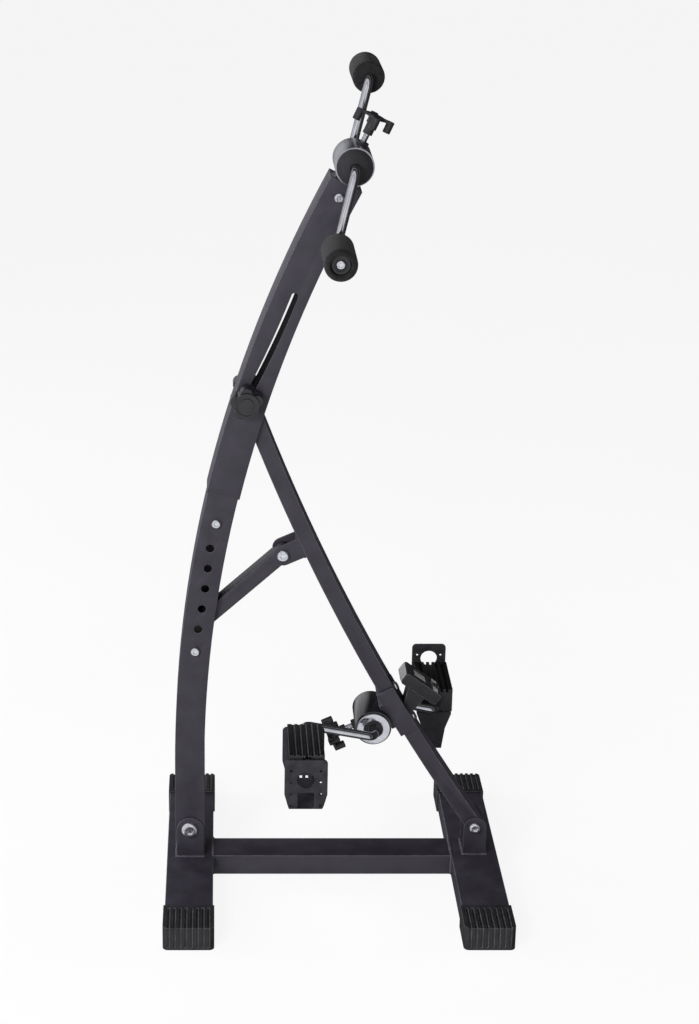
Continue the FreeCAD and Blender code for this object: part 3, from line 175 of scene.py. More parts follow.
def powder_coated_steel():
    """Satin polyester powder: charcoal with an orange peel about 2 mm across, paler along edges, partly
    rubbed and partly a painted highlight.
    """
    material, tree, shader = new_material("powder_coated_steel", specular=0.45)
    where, colour = mottled(tree, shader, "#232127", "#2d2a32", patch_mm=26, low_rough=0.4, high_rough=0.52)
    # Paler rounded edges: partly wear, partly a painted highlight.
    rubbed_and_highlit_edges(tree, shader, where, colour, "#6c6a72", most=0.3)
    coarse = add(tree, "ShaderNodeTexNoise", {"Vector": where, "Scale": scale_of(2), "Detail": 3.0})
    fine = add(tree, "ShaderNodeTexNoise", {"Vector": where, "Scale": scale_of(0.7), "Detail": 1.0})
    relief(tree, shader, [coarse.outputs["Fac"], fine.outputs["Fac"]], depth_mm=0.08, strength=0.45)
    return material


def black_enamel():
    """Gloss black stoving enamel over a drum: smooth, with faint waves and a hard clear shine."""
    material, tree, shader = new_material("black_enamel", coat=0.6)
    where, _ = mottled(tree, shader, "#0a0a0c", "#101012", patch_mm=20, low_rough=0.16, high_rough=0.26)
    grained(tree, shader, where, size_mm=6, depth_mm=0.05, strength=0.25, detail=2.0)
    return material


def chrome_plate():
    """Bright nickel-chrome plate on a drawn rod, with faint waves that bend what it mirrors."""
    material, tree, shader = new_material("chrome_plate", metallic=1.0)
    where, _ = mottled(tree, shader, "#c4c5ca", "#dcdde1", patch_mm=12, low_rough=0.1, high_rough=0.17)
    grained(tree, shader, where, size_mm=4, depth_mm=0.01, strength=0.05, detail=1.0)
    return material


def zinc_plate():
    """Bright zinc plate on pressed fasteners, slightly clouded."""
    material, tree, shader = new_material("zinc_plate", metallic=1.0)
    where, _ = mottled(tree, shader, "#dcdee3", "#f6f7fa", patch_mm=3, low_rough=0.2, high_rough=0.34)
    grained(tree, shader, where, size_mm=0.6, depth_mm=0.02, strength=0.3, detail=2.0)
    return material


def turned_steel():
    """Lathe-turned steel: rings about 5 mm apart round the axle, which runs along Y."""
    material, tree, shader = new_material("turned_steel", metallic=1.0)
    where, _ = mottled(tree, shader, "#a9aaae", "#c4c5c9", patch_mm=8, low_rough=0.24, high_rough=0.36)
    ringed(tree, shader, where, radian_mm=0.8, depth_mm=0.02, strength=0.3, distortion=0.4)
    return material


def moulded_polypropylene():
    """Matt black polypropylene with a mould grain about 0.8 mm, pale along its ridges, partly from wear and
    partly as a painted highlight.
    """
    material, tree, shader = new_material("moulded_polypropylene", ior=1.49, specular=0.4)
    where, colour = mottled(tree, shader, "#161618", "#222124", patch_mm=15, low_rough=0.46, high_rough=0.6)
    # Pale ridges: partly wear, partly a painted highlight.
    rubbed_and_highlit_edges(tree, shader, where, colour, "#626164", most=0.7)
    grained(tree, shader, where, size_mm=0.8, depth_mm=0.06, strength=0.4)
    return material


def moulded_abs():
    """Semi-gloss black ABS of the hand knobs, with a light satin mould grain and lobes paler at their edges,
    partly rubbed and partly a painted highlight.
    """
    material, tree, shader = new_material("moulded_abs", ior=1.54)
    where, colour = mottled(tree, shader, "#141416", "#1d1d20", patch_mm=10, low_rough=0.28, high_rough=0.4)
    # Paler lobe edges: partly wear, partly a painted highlight.
    rubbed_and_highlit_edges(tree, shader, where, colour, "#6a696f", most=0.5)
    grained(tree, shader, where, size_mm=1, depth_mm=0.03, strength=0.3, detail=2.0)
    return material


def foam_rubber():
    """Closed-cell nitrile foam of the hand grips: dull, with open pores about 0.9 mm."""
    material, tree, shader = new_material("foam_rubber", ior=1.45, specular=0.3, sheen=0.04)
    where, _ = mottled(tree, shader, "#121213", "#1d1d1e", patch_mm=6, low_rough=0.7, high_rough=0.86)
    pores = add(tree, "ShaderNodeTexVoronoi", {"Vector": where, "Scale": scale_of(0.9)})
    swell = add(tree, "ShaderNodeTexNoise", {"Vector": where, "Scale": scale_of(3), "Detail": 4.0})
    relief(tree, shader, [pores.outputs["Distance"], swell.outputs["Fac"]], depth_mm=0.25, strength=0.6)
    return material


def moulded_nylon():
    """Black glass-filled nylon of the pedals: satin, with a faint flow mottle and ribs paler at their edges,
    partly scuffed and partly a painted highlight.
    """
    material, tree, shader = new_material("moulded_nylon", ior=1.53)
    where, colour = mottled(tree, shader, "#070708", "#101011", patch_mm=12, low_rough=0.34, high_rough=0.5)
    # Paler rib edges: partly scuffing, partly a painted highlight.
    rubbed_and_highlit_edges(tree, shader, where, colour, "#55545a", most=0.45)
    grained(tree, shader, where, size_mm=1.2, depth_mm=0.05, strength=0.35, detail=4.0)
    return material


def moulded_rubber():
    """Soft thermoplastic rubber of the foot straps: matt dark grey with a fine leathery skin, paler along its
    edges, partly worn and partly a painted highlight.
    """
    material, tree, shader = new_material("moulded_rubber", specular=0.35)
    where, colour = mottled(tree, shader, "#1c1b1f", "#2c2b2f", patch_mm=10, low_rough=0.5, high_rough=0.66)
    # Paler strap edges: partly wear, partly a painted highlight.
    rubbed_and_highlit_edges(tree, shader, where, colour, "#77767b", most=0.6)
    skin = add(tree, "ShaderNodeTexVoronoi", {"Vector": where, "Scale": scale_of(1.6)}, feature="SMOOTH_F1")
    relief(tree, shader, [skin.outputs["Distance"]], depth_mm=0.08, strength=0.35)
    return material


def acetal():
    """Black acetal of the bushes and guides, machined with faint rings about 3 mm apart."""
    material, tree, shader = new_material("acetal", ior=1.48)
    where, _ = mottled(tree, shader, "#0e0e0f", "#161617", patch_mm=10, low_rough=0.3, high_rough=0.4)
    ringed(tree, shader, where, radian_mm=0.5, depth_mm=0.02, strength=0.2)
    return material


def black_oxide():
    """Chemically blackened steel of the lock pin: nearly black, with an oily satin."""
    material, tree, shader = new_material("black_oxide", metallic=0.6)
    where, _ = mottled(tree, shader, "#050506", "#0b0b0c", patch_mm=4, low_rough=0.34, high_rough=0.5)
    grained(tree, shader, where, size_mm=0.8, depth_mm=0.02, strength=0.3, detail=2.0)
    return material


def lcd_glass():
    """The counter's grey liquid crystal under clear acrylic."""
    material, tree, shader = new_material("lcd_glass", ior=1.49, coat=0.5)
    where, _ = mottled(tree, shader, "#6f736f", "#7f837e", patch_mm=18, low_rough=0.12, high_rough=0.2)
    grained(tree, shader, where, size_mm=2, depth_mm=0.005, strength=0.1, detail=1.0)
    return material


def grey_abs():
    """Mid-grey satin ABS of the counter's end plate and key panels."""
    material, tree, shader = new_material("grey_abs", ior=1.54)
    where, _ = mottled(tree, shader, "#77777a", "#868688", patch_mm=9, low_rough=0.4, high_rough=0.52)
    grained(tree, shader, where, size_mm=0.9, depth_mm=0.04, strength=0.35)
    return material


POWDER = powder_coated_steel()
ENAMEL = black_enamel()
CHROME = chrome_plate()
ZINC = zinc_plate()
TURNED = turned_steel()
CAP_PLASTIC = moulded_polypropylene()
KNOB_PLASTIC = moulded_abs()
FOAM = foam_rubber()
NYLON = moulded_nylon()
STRAP_RUBBER = moulded_rubber()
ACETAL = acetal()
BLACK_OXIDE = black_oxide()
LCD = lcd_glass()
GREY_ABS = grey_abs()
FINISHES = {
    "frame_paint": POWDER,
    "hub_paint": ENAMEL,
    "drum_steel": TURNED,
    "rod_chrome": CHROME,
    "bolt_chrome": ZINC,
    "cap_plastic": CAP_PLASTIC,
    "knob_plastic": KNOB_PLASTIC,
    "grip_rubber": FOAM,
    "pedal_plastic": NYLON,
    "strap_rubber": STRAP_RUBBER,
    "bush_plastic": ACETAL,
    "bearing_steel": TURNED,
    "case_plastic": CAP_PLASTIC,
    "button_plastic": KNOB_PLASTIC,
    "pin_steel": BLACK_OXIDE,
}
SLOTS = {entry["node"]: entry["material_slot"] for entry in frame["record"]["subparts"]}
JOINTS = {joint["name"]: joint for joint in frame["joints"]}


# Meshes
MERGE_REACH = MM / 100
CIRCLE_STEPS = 48
CORNER_STEPS = 6
SHARP_DEG = 35
SOFT_SHARP_DEG = 50


def link_in(item):
    bpy.context.scene.collection.objects.link(item)
    return item


def stand_in(name, mesh, body, slot_name, replaced=None, finish=None):
    """Make a mesh a piece that rides on a body and may stand for a CAD node."""
    mesh.materials.clear()
    mesh.materials.append(finish or FINISHES[slot_name])
    piece = link_in(bpy.data.objects.new(name, mesh))
    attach(piece, body)
    if replaced:
        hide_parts(replaced)


def for_node(name, mesh):
    """Let a mesh stand for one CAD node."""
    stand_in(name + "_finish", mesh, frame["nodes"][name]["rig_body"], SLOTS[name], name)


def merged(name):
    """The mesh of a CAD node with its doubled corners merged."""
    work = bmesh.new()
    work.from_mesh(frame["nodes"][name].data)
    bmesh.ops.remove_doubles(work, verts=work.verts, dist=MERGE_REACH)
    return work


def mesh_of(name, work, sharp_deg=SHARP_DEG):
    """Close a bmesh into a smooth mesh that keeps its sharper edges."""
    bmesh.ops.recalc_face_normals(work, faces=work.faces)
    mesh = bpy.data.meshes.new(name)
    work.to_mesh(mesh)
    work.free()
    mesh.shade_smooth()
    mesh.set_sharp_from_angle(angle=math.radians(sharp_deg))
    return mesh


def lofted(work, loops, place, closed=False):
    """Skin rows of points in millimetres, each as long as the next or a single pole, at a place."""
    rows = [[work.verts.new(place @ (Vector(point) * MM)) for point in loop] for loop in loops]
    pairs = list(zip(rows, rows[1:]))
    if closed:
        pairs.append((rows[-1], rows[0]))
    for first, second in pairs:
        count = max(len(first), len(second))
        for step in range(count):
            following = (step + 1) % count
            corners = [first[step % len(first)], first[following % len(first)],
                       second[following % len(second)], second[step % len(second)]]
            work.faces.new(list(dict.fromkeys(corners)))


def ring_of(radius, height, sides=0):
    """A row of points round the Z axis, on a circle or on a polygon with that many sides."""
    if radius == 0:
        return [(0, 0, height)]
    points = []
    for step in range(CIRCLE_STEPS):
        turn = FULL_TURN * step / CIRCLE_STEPS
        reach = radius
        if sides:
            half = math.pi / sides
            reach = radius * math.cos(half) / math.cos(turn % (2 * half) - half)
        points.append((reach * math.cos(turn), reach * math.sin(turn), height))
    return points


def plate_loop(wide, deep, corner, height):
    """A row of points round a rectangle with rounded corners."""
    points = []
    for start, (side_x, side_y) in enumerate(((1, 1), (-1, 1), (-1, -1), (1, -1))):
        for step in range(CORNER_STEPS + 1):
            turn = QUARTER * (start + step / CORNER_STEPS)
            points.append((side_x * (wide / 2 - corner) + corner * math.cos(turn),
                           side_y * (deep / 2 - corner) + corner * math.sin(turn), height))
    return points


def plate(work, place, wide, deep, tall, corner, edge):
    """A plate with rounded corners and a rounded top edge, standing on the place."""
    bulge = 0.3 * edge
    rounds = ((0, 0), (0, tall - edge), (bulge, tall - bulge), (edge, tall))
    loops = [plate_loop(wide - 2 * inset, deep - 2 * inset, corner - inset, height)
             for inset, height in rounds]
    lofted(work, [[(0, 0, 0)]] + loops + [[(0, 0, tall)]], place)


def along(direction, origin):
    """A place whose Z axis points along a direction."""
    turned = Vector(direction).to_track_quat("Z", "Y").to_matrix().to_4x4()
    return Matrix.Translation(origin) @ turned


# Pieces that keep their CAD shape
FLAT_DEG = 0.5
EDGE_DEG = 40
EDGE_SEGMENTS = 3
EDGE_ROUNDS_MM = {
    "left_foot_tube": 3,
    "right_foot_tube": 3,
    "cross_rail": 3,
    "mast_lower_tube": 3,
    "mast_upper_tube": 3,
    "strut_tube": 2.5,
    "brace_link": 2,
    "left_bracket": 0.8,
    "right_bracket": 0.8,
    "brace_clevis": 0.8,
    "hub_saddle": 0.8,
    "left_near_cap": 0.6,
    "left_far_cap": 0.6,
    "right_near_cap": 0.6,
    "right_far_cap": 0.6,
    "near_pedal": 0.8,
    "far_pedal": 0.8,
    "near_strap": 0.9,
    "far_strap": 0.9,
    "near_clamp_knob": 1.2,
    "far_clamp_knob": 1.5,
    "upper_tension_knob": 1.1,
    "lower_tension_knob": 1.1,
    "near_clamp_washer": 0.6,
    "upper_hub_shell": 0.4,
    "lower_hub_shell": 0.6,
    "upper_hub_caps": 1.2,
    "lower_hub_rings": 1.2,
    "lower_dust_caps": 0.6,
    "upper_tension_boss": 0.8,
    "lower_tension_boss": 0.8,
    "upper_hub_stem": 0.8,
    "counter_housing": 0.8,
    "counter_bracket": 0.8,
    "counter_button": 0.6,
    "lock_pin": 0.6,
}


def smooth_copy(name):
    """Stand a smoothly shaded copy of a CAD node in its place."""
    work = merged(name)
    for face in work.faces:
        face.material_index = 0
    for_node(name, mesh_of(name + "_finish", work))


def mark_rims(mesh):
    """Turn the bevel's own material index into a value on the corners of its faces."""
    rims = mesh.attributes.new("rim", "FLOAT", "CORNER")
    for face in mesh.polygons:
        for loop in face.loop_indices:
            rims.data[loop].value = face.material_index
    for face in mesh.polygons:
        face.material_index = 0


def bevelled(name, mesh, width_mm):
    """The plain mesh that a bevel makes of a mesh, whose rounded edges have the second material."""
    draft = link_in(bpy.data.objects.new(name + "_draft", mesh))
    bevel = draft.modifiers.new("edges", "BEVEL")
    bevel.width = width_mm * MM
    bevel.segments = EDGE_SEGMENTS
    bevel.limit_method = "ANGLE"
    bevel.angle_limit = math.radians(EDGE_DEG)
    bevel.use_clamp_overlap = True
    bevel.harden_normals = True
    bevel.material = 1
    graph = bpy.context.evaluated_depsgraph_get()
    finished = bpy.data.meshes.new_from_object(draft.evaluated_get(graph))
    bpy.data.objects.remove(draft)
    return finished


def soften(name, width_mm):
    """Stand a copy of a CAD node with rounded hard edges in its place."""
    work = merged(name)
    bmesh.ops.dissolve_limit(work, angle_limit=math.radians(FLAT_DEG), verts=work.verts, edges=work.edges)
    for face in work.faces:
        face.smooth = True
        face.material_index = 0
    mesh = bpy.data.meshes.new(name + "_draft")
    work.to_mesh(mesh)
    work.free()
    for _ in ("face", "rim"):
        mesh.materials.append(FINISHES[SLOTS[name]])
    finished = bevelled(name, mesh, width_mm)
    mark_rims(finished)
    for_node(name, finished)


# Fasteners
HEAD_TALL = 4
TIP_CHAMFER = 0.6
SCREW_SHANKS = {
    "mast_bolts": 4,
    "pivot_bolts": 5,
    "clevis_bolt": 4,
    "saddle_bolts": 4,
    "grip_screws": 3,
    "pedal_screws": 3,
}
SOCKET_SHARE = 0.46
LIP_SHARE = 0.51
SOCKET_DEEP_SHARE = 0.6
SOCKET_BREAK_SHARE = 0.06
DOME_FALL_SHARE = 0.8
DOME_STEPS = 6
HEAD_FOOT_SHARE = 0.97
NUT_BORES = {"mast_nuts": 4.05, "pivot_nuts": 5.05, "clevis_nut": 4.05}
COLLAR_SHARE = 0.74
COLLAR_ROUND = 0.5
COLLAR_FOOT_SHARE = 0.26
CHAMFER_SHARE = 0.88
CHAMFER_TOP_SHARE = 0.28
FLATS_TOP_SHARE = 0.42
FLATS_FOOT_SHARE = 0.93
WIDEST_SHARE = 0.98
END_TOLERANCE = 0.2 * MM


def solids_of(work):
    """The separate solids of a merged mesh, each as a list of its faces."""
    work.faces.index_update()
    reached = set()
    solids = []
    for start in work.faces:
        if start.index in reached:
            continue
        solid = [start]
        reached.add(start.index)
        for face in solid:
            for other in (near for edge in face.edges for near in edge.link_faces):
                if other.index not in reached:
                    reached.add(other.index)
                    solid.append(other)
        solids.append(solid)
    return solids


def turning_axis(faces):
    """The direction that most of a fastener's flat faces look along."""
    areas = {}
    for face in faces:
        normal = face.normal if max(face.normal, key=abs) > 0 else -face.normal
        key = tuple(round(part, 2) for part in normal)
        areas[key] = areas.get(key, 0) + face.calc_area()
    return Vector(max(areas, key=areas.get)).normalized()


def head_place(faces):
    """The middle of a fastener's outer end, facing out, with its widest radius and its length."""
    axis = turning_axis(faces)
    skin = sum(face.calc_area() for face in faces)
    middle = sum((face.calc_center_median() * face.calc_area() for face in faces), Vector()) / skin
    offsets = [corner.co - middle for face in faces for corner in face.verts]
    heights = [offset.dot(axis) for offset in offsets]
    reaches = [(offset - axis * height).length for offset, height in zip(offsets, heights)]
    radius = max(reaches)
    wide = [height for height, reach in zip(heights, reaches) if reach > WIDEST_SHARE * radius]
    level = (min(wide) + max(wide)) / 2
    low, high = min(heights), max(heights)
    if high - level <= level - low + END_TOLERANCE:
        return along(axis, middle + axis * high), radius / MM, (high - low) / MM
    return along(-axis, middle + axis * low), radius / MM, (high - low) / MM


def dome_rings(inner, outer, fall):
    """Rings of an elliptic dome that falls from an inner to an outer radius."""
    rings = []
    for step in range(DOME_STEPS + 1):
        out = step / DOME_STEPS
        rings.append(ring_of(inner + (outer - inner) * out, -fall * (1 - math.sqrt(1 - out * out))))
    return rings


def button_head(radius):
    """The rings of a button head from the floor of its hexagon socket to its foot."""
    socket = SOCKET_SHARE * radius
    rings = [
        ring_of(0, -SOCKET_DEEP_SHARE * HEAD_TALL),
        ring_of(socket, -SOCKET_DEEP_SHARE * HEAD_TALL, HEXAGON),
        ring_of(socket, -SOCKET_BREAK_SHARE * HEAD_TALL, HEXAGON),
    ]
    rings += dome_rings(LIP_SHARE * radius, radius, DOME_FALL_SHARE * HEAD_TALL)
    rings.append(ring_of(HEAD_FOOT_SHARE * radius, -HEAD_TALL))
    return rings


def shank_rings(shank, long):
    """The rings of a shank below the head, or only the pole that closes a head without one."""
    if long <= HEAD_TALL + 1:
        return [ring_of(0, -HEAD_TALL)]
    return [
        ring_of(shank, -HEAD_TALL),
        ring_of(shank, -long + TIP_CHAMFER),
        ring_of(shank - TIP_CHAMFER, -long),
        ring_of(0, -long),
    ]


def button_screws(name, shank):
    """Button-head screws with a hexagon socket, one for each solid of the node."""
    source = merged(name)
    work = bmesh.new()
    for faces in solids_of(source):
        place, radius, long = head_place(faces)
        lofted(work, button_head(radius) + shank_rings(shank, long), place)
    source.free()
    for_node(name, mesh_of(name + "_finish", work))


def lock_nuts(name, bore):
    """Hexagon lock nuts with a round collar and chamfered corners, one for each solid of the node."""
    source = merged(name)
    work = bmesh.new()
    for faces in solids_of(source):
        place, radius, tall = head_place(faces)
        collar = COLLAR_SHARE * radius
        rings = [
            ring_of(bore, 0),
            ring_of(collar - COLLAR_ROUND, 0),
            ring_of(collar, -COLLAR_ROUND),
            ring_of(collar, -COLLAR_FOOT_SHARE * tall),
            ring_of(CHAMFER_SHARE * radius, -CHAMFER_TOP_SHARE * tall),
            ring_of(radius, -FLATS_TOP_SHARE * tall, HEXAGON),
            ring_of(radius, -FLATS_FOOT_SHARE * tall, HEXAGON),
            ring_of(CHAMFER_SHARE * radius, -tall),
            ring_of(bore, -tall),
        ]
        lofted(work, rings, place, closed=True)
    source.free()
    for_node(name, mesh_of(name + "_finish", work))


# Hand grips, in millimetres from the outer end
GRIPS = {"near_grip": -1, "far_grip": 1}
ROD_HOLE = 6.1
RECESS_RADIUS = 13
RECESS_DEEP = 10
RECESS_CORNER = 0.6
RECESS_LIP = ((13, 2), (13.4, 0.8), (14.4, 0.2))
ROLL_WIDE = 6.2
ROLL_DEEP = 9
ROLL_TURNS = (0, 0.22, 0.44, 0.66, 0.88, 1.1, 1.34, 1.57)
SHOULDER = 4
SHOULDER_TURNS = (0, 0.4, 0.8, 1.2, 1.57)
END_RING = ((6.2, 9.9), (12.2, 9.9), (12.2, 7.4), (11.6, 6.9), (8.6, 6.9), (8.2, 7.3), (8.2, 8.6), (6.2, 8.6))


def grip_rings(radius, long):
    """The rings of a foam sleeve: its sunk end, the rolled outer end and the soft inner shoulder."""
    recess = [ring_of(ROD_HOLE, -RECESS_DEEP), ring_of(RECESS_RADIUS - RECESS_CORNER, -RECESS_DEEP),
              ring_of(RECESS_RADIUS, RECESS_CORNER - RECESS_DEEP)]
    lip = [ring_of(reach, -deep) for reach, deep in RECESS_LIP]
    roll = [ring_of(radius - ROLL_WIDE * (1 - math.sin(turn)), -ROLL_DEEP * (1 - math.cos(turn)))
            for turn in ROLL_TURNS]
    shoulder = [ring_of(radius - SHOULDER * (1 - math.cos(turn)), SHOULDER * (1 - math.sin(turn)) - long)
                for turn in SHOULDER_TURNS]
    return recess + lip + roll + shoulder + [ring_of(ROD_HOLE, -long)]


def hand_grip(name, outward_y):
    """A foam sleeve and the plastic ring in its sunk end."""
    low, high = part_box(name)
    outer_y = high[1] if outward_y > 0 else low[1]
    middle = Vector(((low[0] + high[0]) / 2, outer_y, (low[2] + high[2]) / 2))
    place = along((0, outward_y, 0), middle)
    sleeve = bmesh.new()
    lofted(sleeve, grip_rings((high[0] - low[0]) / 2 / MM, (high[1] - low[1]) / MM), place, closed=True)
    for_node(name, mesh_of(name + "_finish", sleeve, SOFT_SHARP_DEG))
    ring = bmesh.new()
    lofted(ring, [ring_of(reach, -deep) for reach, deep in END_RING], place, closed=True)
    stand_in(name + "_end_ring", mesh_of(name + "_end_ring", ring), frame["nodes"][name]["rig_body"],
             "knob_plastic")


# Weld beads and threads, each from a node tree
WELD_PITCH = 1.9 * MM
BEAD_RADIUS = 2.3 * MM
BEAD_SEGMENTS = 10
BEAD_RINGS = 7
BEAD_LEAST = (0.92, 0.92, 0.62)
BEAD_MOST = (1.12, 1.12, 0.78)
BEAD_SEED = 7
BEAD_SUNK = 0.4 * MM
RAIL_WELD_FOOT = 4 * MM
THREAD_RADIUS = 3.6 * MM
THREAD_PITCH = 1.25 * MM
THREAD_STEPS = 24
THREAD_TURNS = 8
RIDGE_RADIUS = 0.42 * MM
RIDGE_SIDES = 6
CORE_RADIUS = 3.55
CORE_TIP_RADIUS = 3.1
CORE_CHAMFER = 0.5
SCREW_SEAT_GAP = 0.3 * MM
PLAIN_END = MM


def tree_with(name, inputs):
    """A geometry tree with a geometry input, named values and a geometry output."""
    tree = bpy.data.node_groups.new(name, "GeometryNodeTree")
    tree.interface.new_socket("Geometry", in_out="INPUT", socket_type="NodeSocketGeometry")
    for label, content in inputs.items():
        socket = tree.interface.new_socket(label, in_out="INPUT", socket_type="NodeSocketFloat")
        socket.default_value = content
    tree.interface.new_socket("Geometry", in_out="OUTPUT", socket_type="NodeSocketGeometry")
    return tree, add(tree, "NodeGroupInput").outputs


def end_tree(tree, shape, finish):
    """Close a tree with Realize Instances and Set Material."""
    solid = add(tree, "GeometryNodeRealizeInstances", {"Geometry": shape})
    painted = add(tree, "GeometryNodeSetMaterial", {"Geometry": solid.outputs["Geometry"],
                                                    "Material": finish})
    add(tree, "NodeGroupOutput", {"Geometry": painted.outputs["Geometry"]})
    return tree


def made_by(tree, points, edges, values):
    """The plain mesh that a tree makes of a run of edges."""
    start = bpy.data.meshes.new(tree.name)
    start.from_pydata(points, edges, [])
    draft = link_in(bpy.data.objects.new(tree.name, start))
    modifier = draft.modifiers.new("tree", "NODES")
    modifier.node_group = tree
    for item in tree.interface.items_tree:
        if item.in_out == "INPUT" and item.name in values:
            modifier[item.identifier] = values[item.name]
    graph = bpy.context.evaluated_depsgraph_get()
    made = bpy.data.meshes.new_from_object(draft.evaluated_get(graph))
    bpy.data.objects.remove(draft)
    made.shade_smooth()
    return made


def weld_tree():
    """Overlapping oval drops along a path, as a welder lays them."""
    tree, given = tree_with("weld_bead", {"Pitch": WELD_PITCH, "Bead Radius": BEAD_RADIUS})
    path = add(tree, "GeometryNodeMeshToCurve", {"Mesh": given["Geometry"]})
    spots = add(tree, "GeometryNodeCurveToPoints", {"Curve": path.outputs["Curve"], "Length": given["Pitch"]},
                mode="LENGTH")
    drop = add(tree, "GeometryNodeMeshUVSphere", {"Segments": BEAD_SEGMENTS, "Rings": BEAD_RINGS,
                                                  "Radius": given["Bead Radius"]})
    sizes = add(tree, "FunctionNodeRandomValue", {"Min": BEAD_LEAST, "Max": BEAD_MOST, "Seed": BEAD_SEED},
                data_type="FLOAT_VECTOR")
    laid = add(tree, "GeometryNodeInstanceOnPoints", {
        "Points": spots.outputs["Points"],
        "Instance": drop.outputs["Mesh"],
        "Rotation": spots.outputs["Rotation"],
        "Scale": sizes.outputs["Value"],
    })
    return end_tree(tree, laid.outputs["Instances"], POWDER)


def thread_tree():
    """A rolled screw thread: a fine round ridge wound up the Z axis."""
    tree, given = tree_with("screw_thread", {"Turns": THREAD_TURNS, "Radius": THREAD_RADIUS,
                                             "Height": THREAD_TURNS * THREAD_PITCH})
    helix = add(tree, "GeometryNodeCurveSpiral", {
        "Resolution": THREAD_STEPS,
        "Rotations": given["Turns"],
        "Start Radius": given["Radius"],
        "End Radius": given["Radius"],
        "Height": given["Height"],
    })
    ridge = add(tree, "GeometryNodeCurvePrimitiveCircle", {"Resolution": RIDGE_SIDES, "Radius": RIDGE_RADIUS},
                mode="RADIUS")
    wound = add(tree, "GeometryNodeCurveToMesh", {"Curve": helix.outputs["Curve"],
                                                  "Profile Curve": ridge.outputs["Curve"], "Fill Caps": True})
    return end_tree(tree, wound.outputs["Mesh"], ZINC)


WELD = weld_tree()
THREAD = thread_tree()


def weld(name, body, runs):
    """Lay a bead along runs of points, each open or closed, painted paler all over as a painted highlight."""
    points = []
    edges = []
    for run, closed in runs:
        first = len(points)
        points += [Vector(point) - Vector((0, 0, BEAD_SUNK)) for point in run]
        edges += [(number, number + 1) for number in range(first, len(points) - 1)]
        if closed:
            edges.append((len(points) - 1, first))
    beads = made_by(WELD, points, edges, {"Pitch": WELD_PITCH, "Bead Radius": BEAD_RADIUS})
    # A rim value of 1 on every corner makes the whole bead paler: a painted highlight along the bead.
    bead_highlight = beads.attributes.new("rim", "FLOAT", "CORNER")
    bead_highlight.data.foreach_set("value", [1.0] * len(beads.loops))
    stand_in(name, beads, body, "frame_paint")


def base_welds():
    """The beads round both ends of the rail and round the foot of each bracket."""
    (left, near, _), (right, far, top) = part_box("cross_rail")
    arches = []
    for end in (left, right):
        arch = [(end, near, RAIL_WELD_FOOT), (end, near, top), (end, far, top), (end, far, RAIL_WELD_FOOT)]
        arches.append((arch, False))
    weld("rail_welds", "base", arches)
    seams = []
    for side in ("left", "right"):
        (left, near, _), (right, far, _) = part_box(side + "_bracket")
        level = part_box(side + "_foot_tube")[1][2]
        seam = [(left, near, level), (right, near, level), (right, far, level), (left, far, level)]
        seams.append((seam, True))
    weld("bracket_welds", "base", seams)


def tension_screw(level):
    """The threaded stem between a hub's boss and its cross knob."""
    name = level + "_tension_screw"
    outward = Vector(JOINTS[level + "_knob_turn"]["axis"])
    hub = Vector(JOINTS[level + "_crank_turn"]["pos_m"])
    reach = [(corner.co - hub).dot(outward) for corner in frame["nodes"][name].data.vertices]
    start = min(reach) + SCREW_SEAT_GAP
    long = max(reach) - start
    core = bmesh.new()
    rings = [ring_of(0, 0), ring_of(CORE_TIP_RADIUS, 0), ring_of(CORE_RADIUS, CORE_CHAMFER),
             ring_of(CORE_RADIUS, long / MM), ring_of(0, long / MM)]
    lofted(core, rings, along(outward, hub + outward * start))
    thread_long = long - 2 * PLAIN_END
    ridge = made_by(THREAD, [], [], {"Turns": round(thread_long / THREAD_PITCH), "Height": thread_long})
    ridge.transform(along(outward, hub + outward * (start + PLAIN_END)))
    core.from_mesh(ridge)
    for_node(name, mesh_of(name + "_finish", core, SOFT_SHARP_DEG))


# Counter, in millimetres on its face
WINDOW_SHIFT = -7
BUTTON_SHIFT = 19
GLASS = {"wide": 25.6, "deep": 25.6, "tall": 0.8, "corner": 1.6, "edge": 0.25}
GLASS_HEIGHT = -1.05
CRYSTAL = {"wide": 19, "deep": 17, "tall": 0.3, "corner": 1, "edge": 0.1}
CRYSTAL_HEIGHT = -0.35
KEY_PANEL = {"wide": 8, "deep": 12, "tall": 1, "corner": 1.6, "edge": 0.4}
KEY_PANEL_APART = 22.96
KEY_PANEL_HEIGHT = -0.1
END_PLATE_DEEP = 36
END_PLATE_INSET = 3
END_PLATE = {"tall": 0.9, "corner": 2.2, "edge": 0.4}
# Each row: width, corner radius and height.
WINDOW_FRAME = ((26.4, 2, -0.2), (26.4, 2, 0.5), (28, 2.8, 0.7), (29, 3.3, 0.3), (29.2, 3.4, -0.2))
# Each row: radius and height.
BUTTON_RING = ((5.5, -0.2), (5.5, 0.9), (5.9, 1.5), (6.6, 1.5), (7.1, 0.9), (7.1, -0.2))


def counter_place():
    """The counter's own place, X along the case and Z out of its face, with its length and height."""
    outward = -Vector(JOINTS["button_press"]["axis"])
    ahead = Vector((outward.z, 0, -outward.x))
    corners = [corner.co for corner in frame["nodes"]["counter_housing"].data.vertices]
    heights = [corner.dot(outward) for corner in corners]
    lengths = [corner.dot(ahead) for corner in corners]
    middle = (max(lengths) + min(lengths)) / 2
    turned = Matrix((ahead, (0, 1, 0), outward)).transposed().to_4x4()
    place = Matrix.Translation(outward * max(heights) + ahead * middle) @ turned
    return place, (max(lengths) - min(lengths)) / MM, (max(heights) - min(heights)) / MM


def shifted(place, x, y, z):
    """A place that lies some millimetres further along its own axes."""
    return place @ Matrix.Translation(Vector((x, y, z)) * MM)


def counter_piece(name, work, finish):
    stand_in(name, mesh_of(name, work), "strut", "case_plastic", finish=finish)


